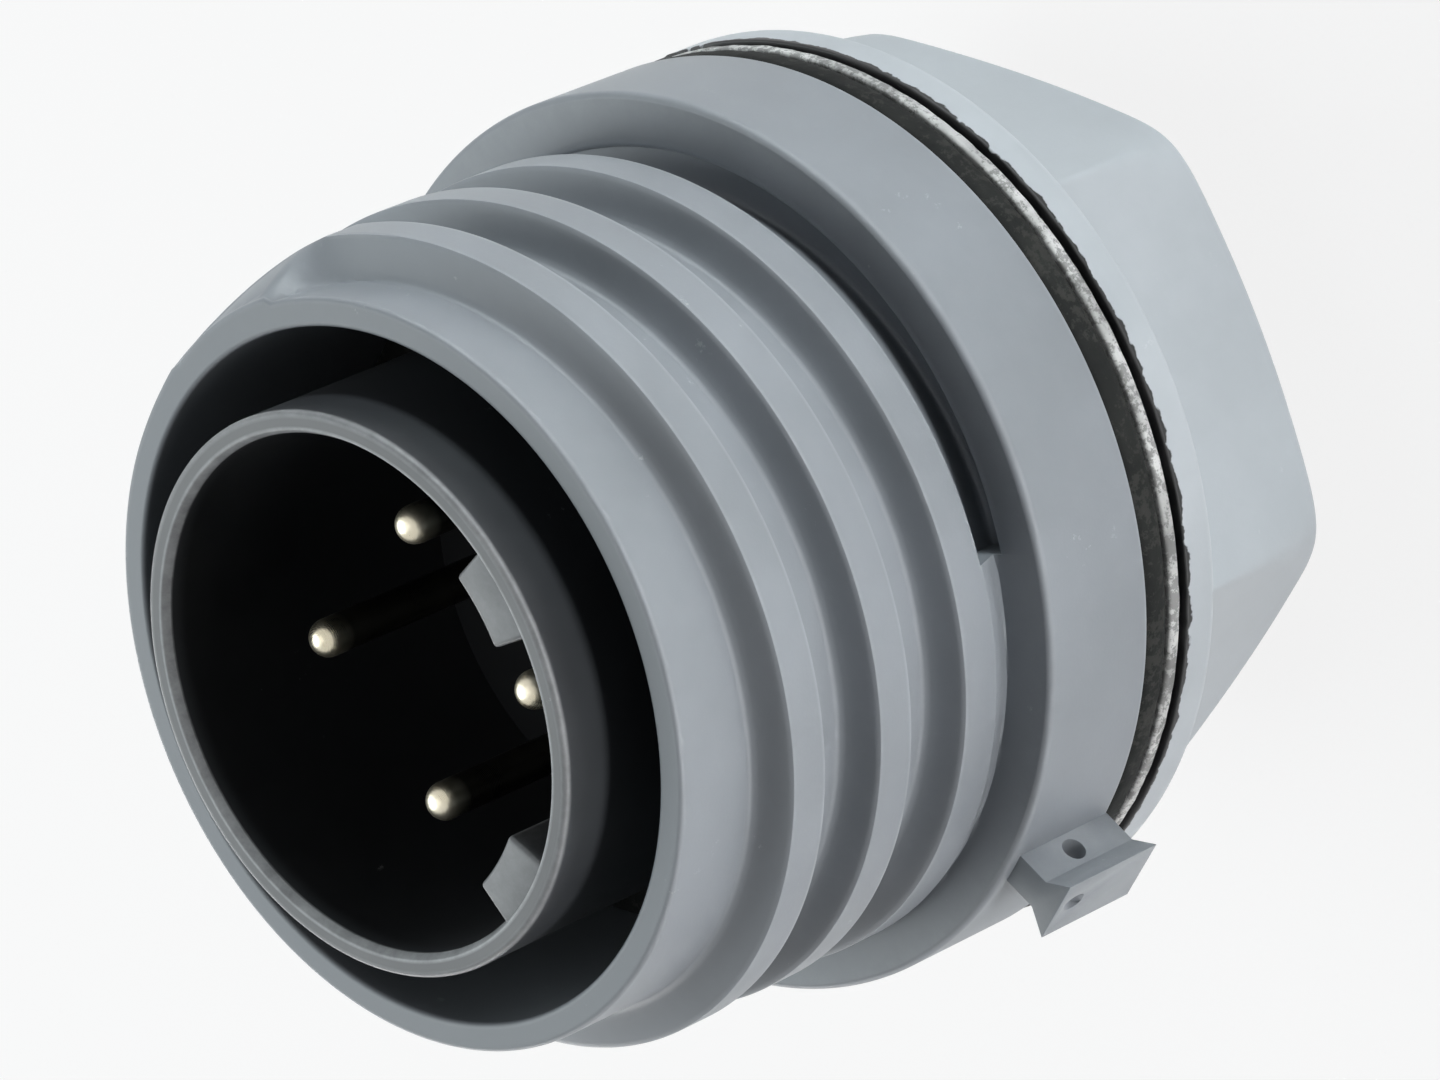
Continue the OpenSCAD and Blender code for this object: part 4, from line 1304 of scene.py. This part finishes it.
nut = skin("collar_nut", [p for ring in rings for p in ring], between(len(rings), COLUMNS))
fine_thread(
    nut, NUT_PLASTIC_PAINTED_PALER, NUT_BORE_R, NUT_BORE_R + NUT_THREAD_H, NUT_END + MOUTH, NUT_TOP - MOUTH,
    NUT_THREAD_FADE, NUT_CORNER,
)
finish_piece(nut, NUT_PLASTIC_PAINTED_PALER, "nut", ["hex_nut"])

# %% [markdown]
# ## Hidden seals and clip
# The plug seal, the O-ring and the clip sit deep inside, and their solids already have the
# right shape. They stay, and only get the finishes made above.

# %% Finishes for the solids that stay
for node, material in (
    ("plug_seal", RUBBER), ("carrier_o_ring", RUBBER), ("carrier_clip", CLIP_METAL)
):
    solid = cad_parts[node]
    solid.data.materials.clear()
    solid.data.materials.append(material)
    print("%s keeps its solid, in %s" % (node, material.name))

# %% [markdown]
# ## Floor and light
# The photograph was taken in a white tent whose walls are the lamps. The connector lies on its
# side there, so walls that stand beside it are low strips round the part's own axis here, and
# the wall it faces is above it. Low light catches the crests and leaves the grooves dark. The
# floor is bright to the camera and in reflections, and an ordinary pale surface for every other
# ray, so it still takes the object's shadow. Light from below the horizon can't pass the floor,
# so four lamps light only the floor beside the object, which throws it back.

# %% Floor
FLOOR_Z, FLOOR_SIZE = cad_box[0].z, 3.0
FLOOR_TONE, FLOOR_ROUGHNESS, FLOOR_SHOWN = (0.82, 0.82, 0.82, 1.0), 0.9, 0.85
bpy.ops.mesh.primitive_plane_add(size=FLOOR_SIZE, location=(0, 0, FLOOR_Z))
floor = bpy.context.object
floor.name = "floor"


def seen_bright(tree, shaded, bright_kind, output, shown):
    """Mixes in an even bright shader for camera, glossy and transmission rays."""
    paths = tree.nodes.new("ShaderNodeLightPath").outputs
    rays = Num(tree, paths["Is Camera Ray"])
    for label in ("Is Glossy Ray", "Is Transmission Ray"):
        rays = rays.math("MAXIMUM", Num(tree, paths[label]))
    mix, bright = tree.nodes.new("ShaderNodeMixShader"), tree.nodes.new(bright_kind)
    for place, source in zip(mix.inputs, (rays * shown, shaded.outputs[0], bright.outputs[0])):
        connect(tree, source, place)
    connect(tree, mix.outputs[0], tree.nodes[output].inputs["Surface"])


floor_material = bpy.data.materials.new("floor_white")
floor_material.use_nodes = True
tree = floor_material.node_tree
pale = tree.nodes["Principled BSDF"]
pale.inputs["Base Color"].default_value = FLOOR_TONE
pale.inputs["Roughness"].default_value = FLOOR_ROUGHNESS
seen_bright(tree, pale, "ShaderNodeEmission", "Material Output", FLOOR_SHOWN)
floor.data.materials.append(floor_material)
print("floor at %.1f mm" % (FLOOR_Z / MM))

# %% World
AMBIENT = 0.02
world = bpy.data.worlds.new("white_tent")
scene.world = world
world.use_nodes = True
tree = world.node_tree
ambient = tree.nodes["Background"]
ambient.inputs["Color"].default_value = (1.0, 1.0, 1.0, 1.0)
ambient.inputs["Strength"].default_value = AMBIENT
seen_bright(tree, ambient, "ShaderNodeBackground", "World Output", 1.0)
print("ambient light", AMBIENT)

# %% Lamps
WHITE, COOL = (1.0, 1.0, 1.0), (0.90, 0.98, 1.0)
LAMP_DISTANCE = 0.6
GLOW_WATTS, GLOW_SIZE, GLOW_SPREAD_DEG = 0.22, 0.06, 34
GLOW_OUT, GLOW_UP, GLOW_AZIMUTHS = 0.17, 0.28, (-170, -125, -80, -35)


def softbox(name, azimuth, elevation, size, watts, colour=WHITE):
    """A soft rectangular lamp that faces the object, placed by angles round the part's axis."""
    turn, lift = math.radians(azimuth), math.radians(elevation)
    flat = math.cos(lift)
    way = Vector((math.cos(turn) * flat, math.sin(turn) * flat, math.sin(lift)))
    lamp = placed(name, bpy.data.lights.new(name, "AREA"))
    lamp.data.shape = "RECTANGLE"
    lamp.data.size, lamp.data.size_y = size
    lamp.data.energy = watts
    lamp.data.color = colour
    lamp.location = way * LAMP_DISTANCE
    lamp.rotation_euler = way.to_track_quat("Z", "Y").to_euler()
    lowest = lamp.location.z - size[1] / 2 * flat - FLOOR_Z
    print("%s: lower edge %.3f m above the floor" % (name, lowest))


# Azimuth and elevation in degrees, width and height in metres, watts
softbox("right_wall", -130, 2.5, (0.7, 0.08), 2.1)
softbox("upper_wall", -55, 2.5, (0.7, 0.08), 2.6, COOL)
softbox("lower_wall", -178, 2.5, (0.5, 0.08), 0.8)
softbox("far_wall", 90, 5, (0.7, 0.12), 1.5)
softbox("front_wall", 0, 85, (0.4, 0.4), 0.3)
softbox("front_left_wall", 55, 48, (0.55, 0.55), 2.6, COOL)


def floor_glow(azimuth):
    """A lamp with a grid that only reaches the floor beside the object, which throws it back."""
    turn = math.radians(azimuth)
    lamp = placed("floor_glow", bpy.data.lights.new("floor_glow", "AREA"))
    lamp.data.size = GLOW_SIZE
    lamp.data.spread = math.radians(GLOW_SPREAD_DEG)
    lamp.data.energy = GLOW_WATTS
    lamp.location = (GLOW_OUT * math.cos(turn), GLOW_OUT * math.sin(turn), FLOOR_Z + GLOW_UP)


for azimuth in GLOW_AZIMUTHS:
    floor_glow(azimuth)
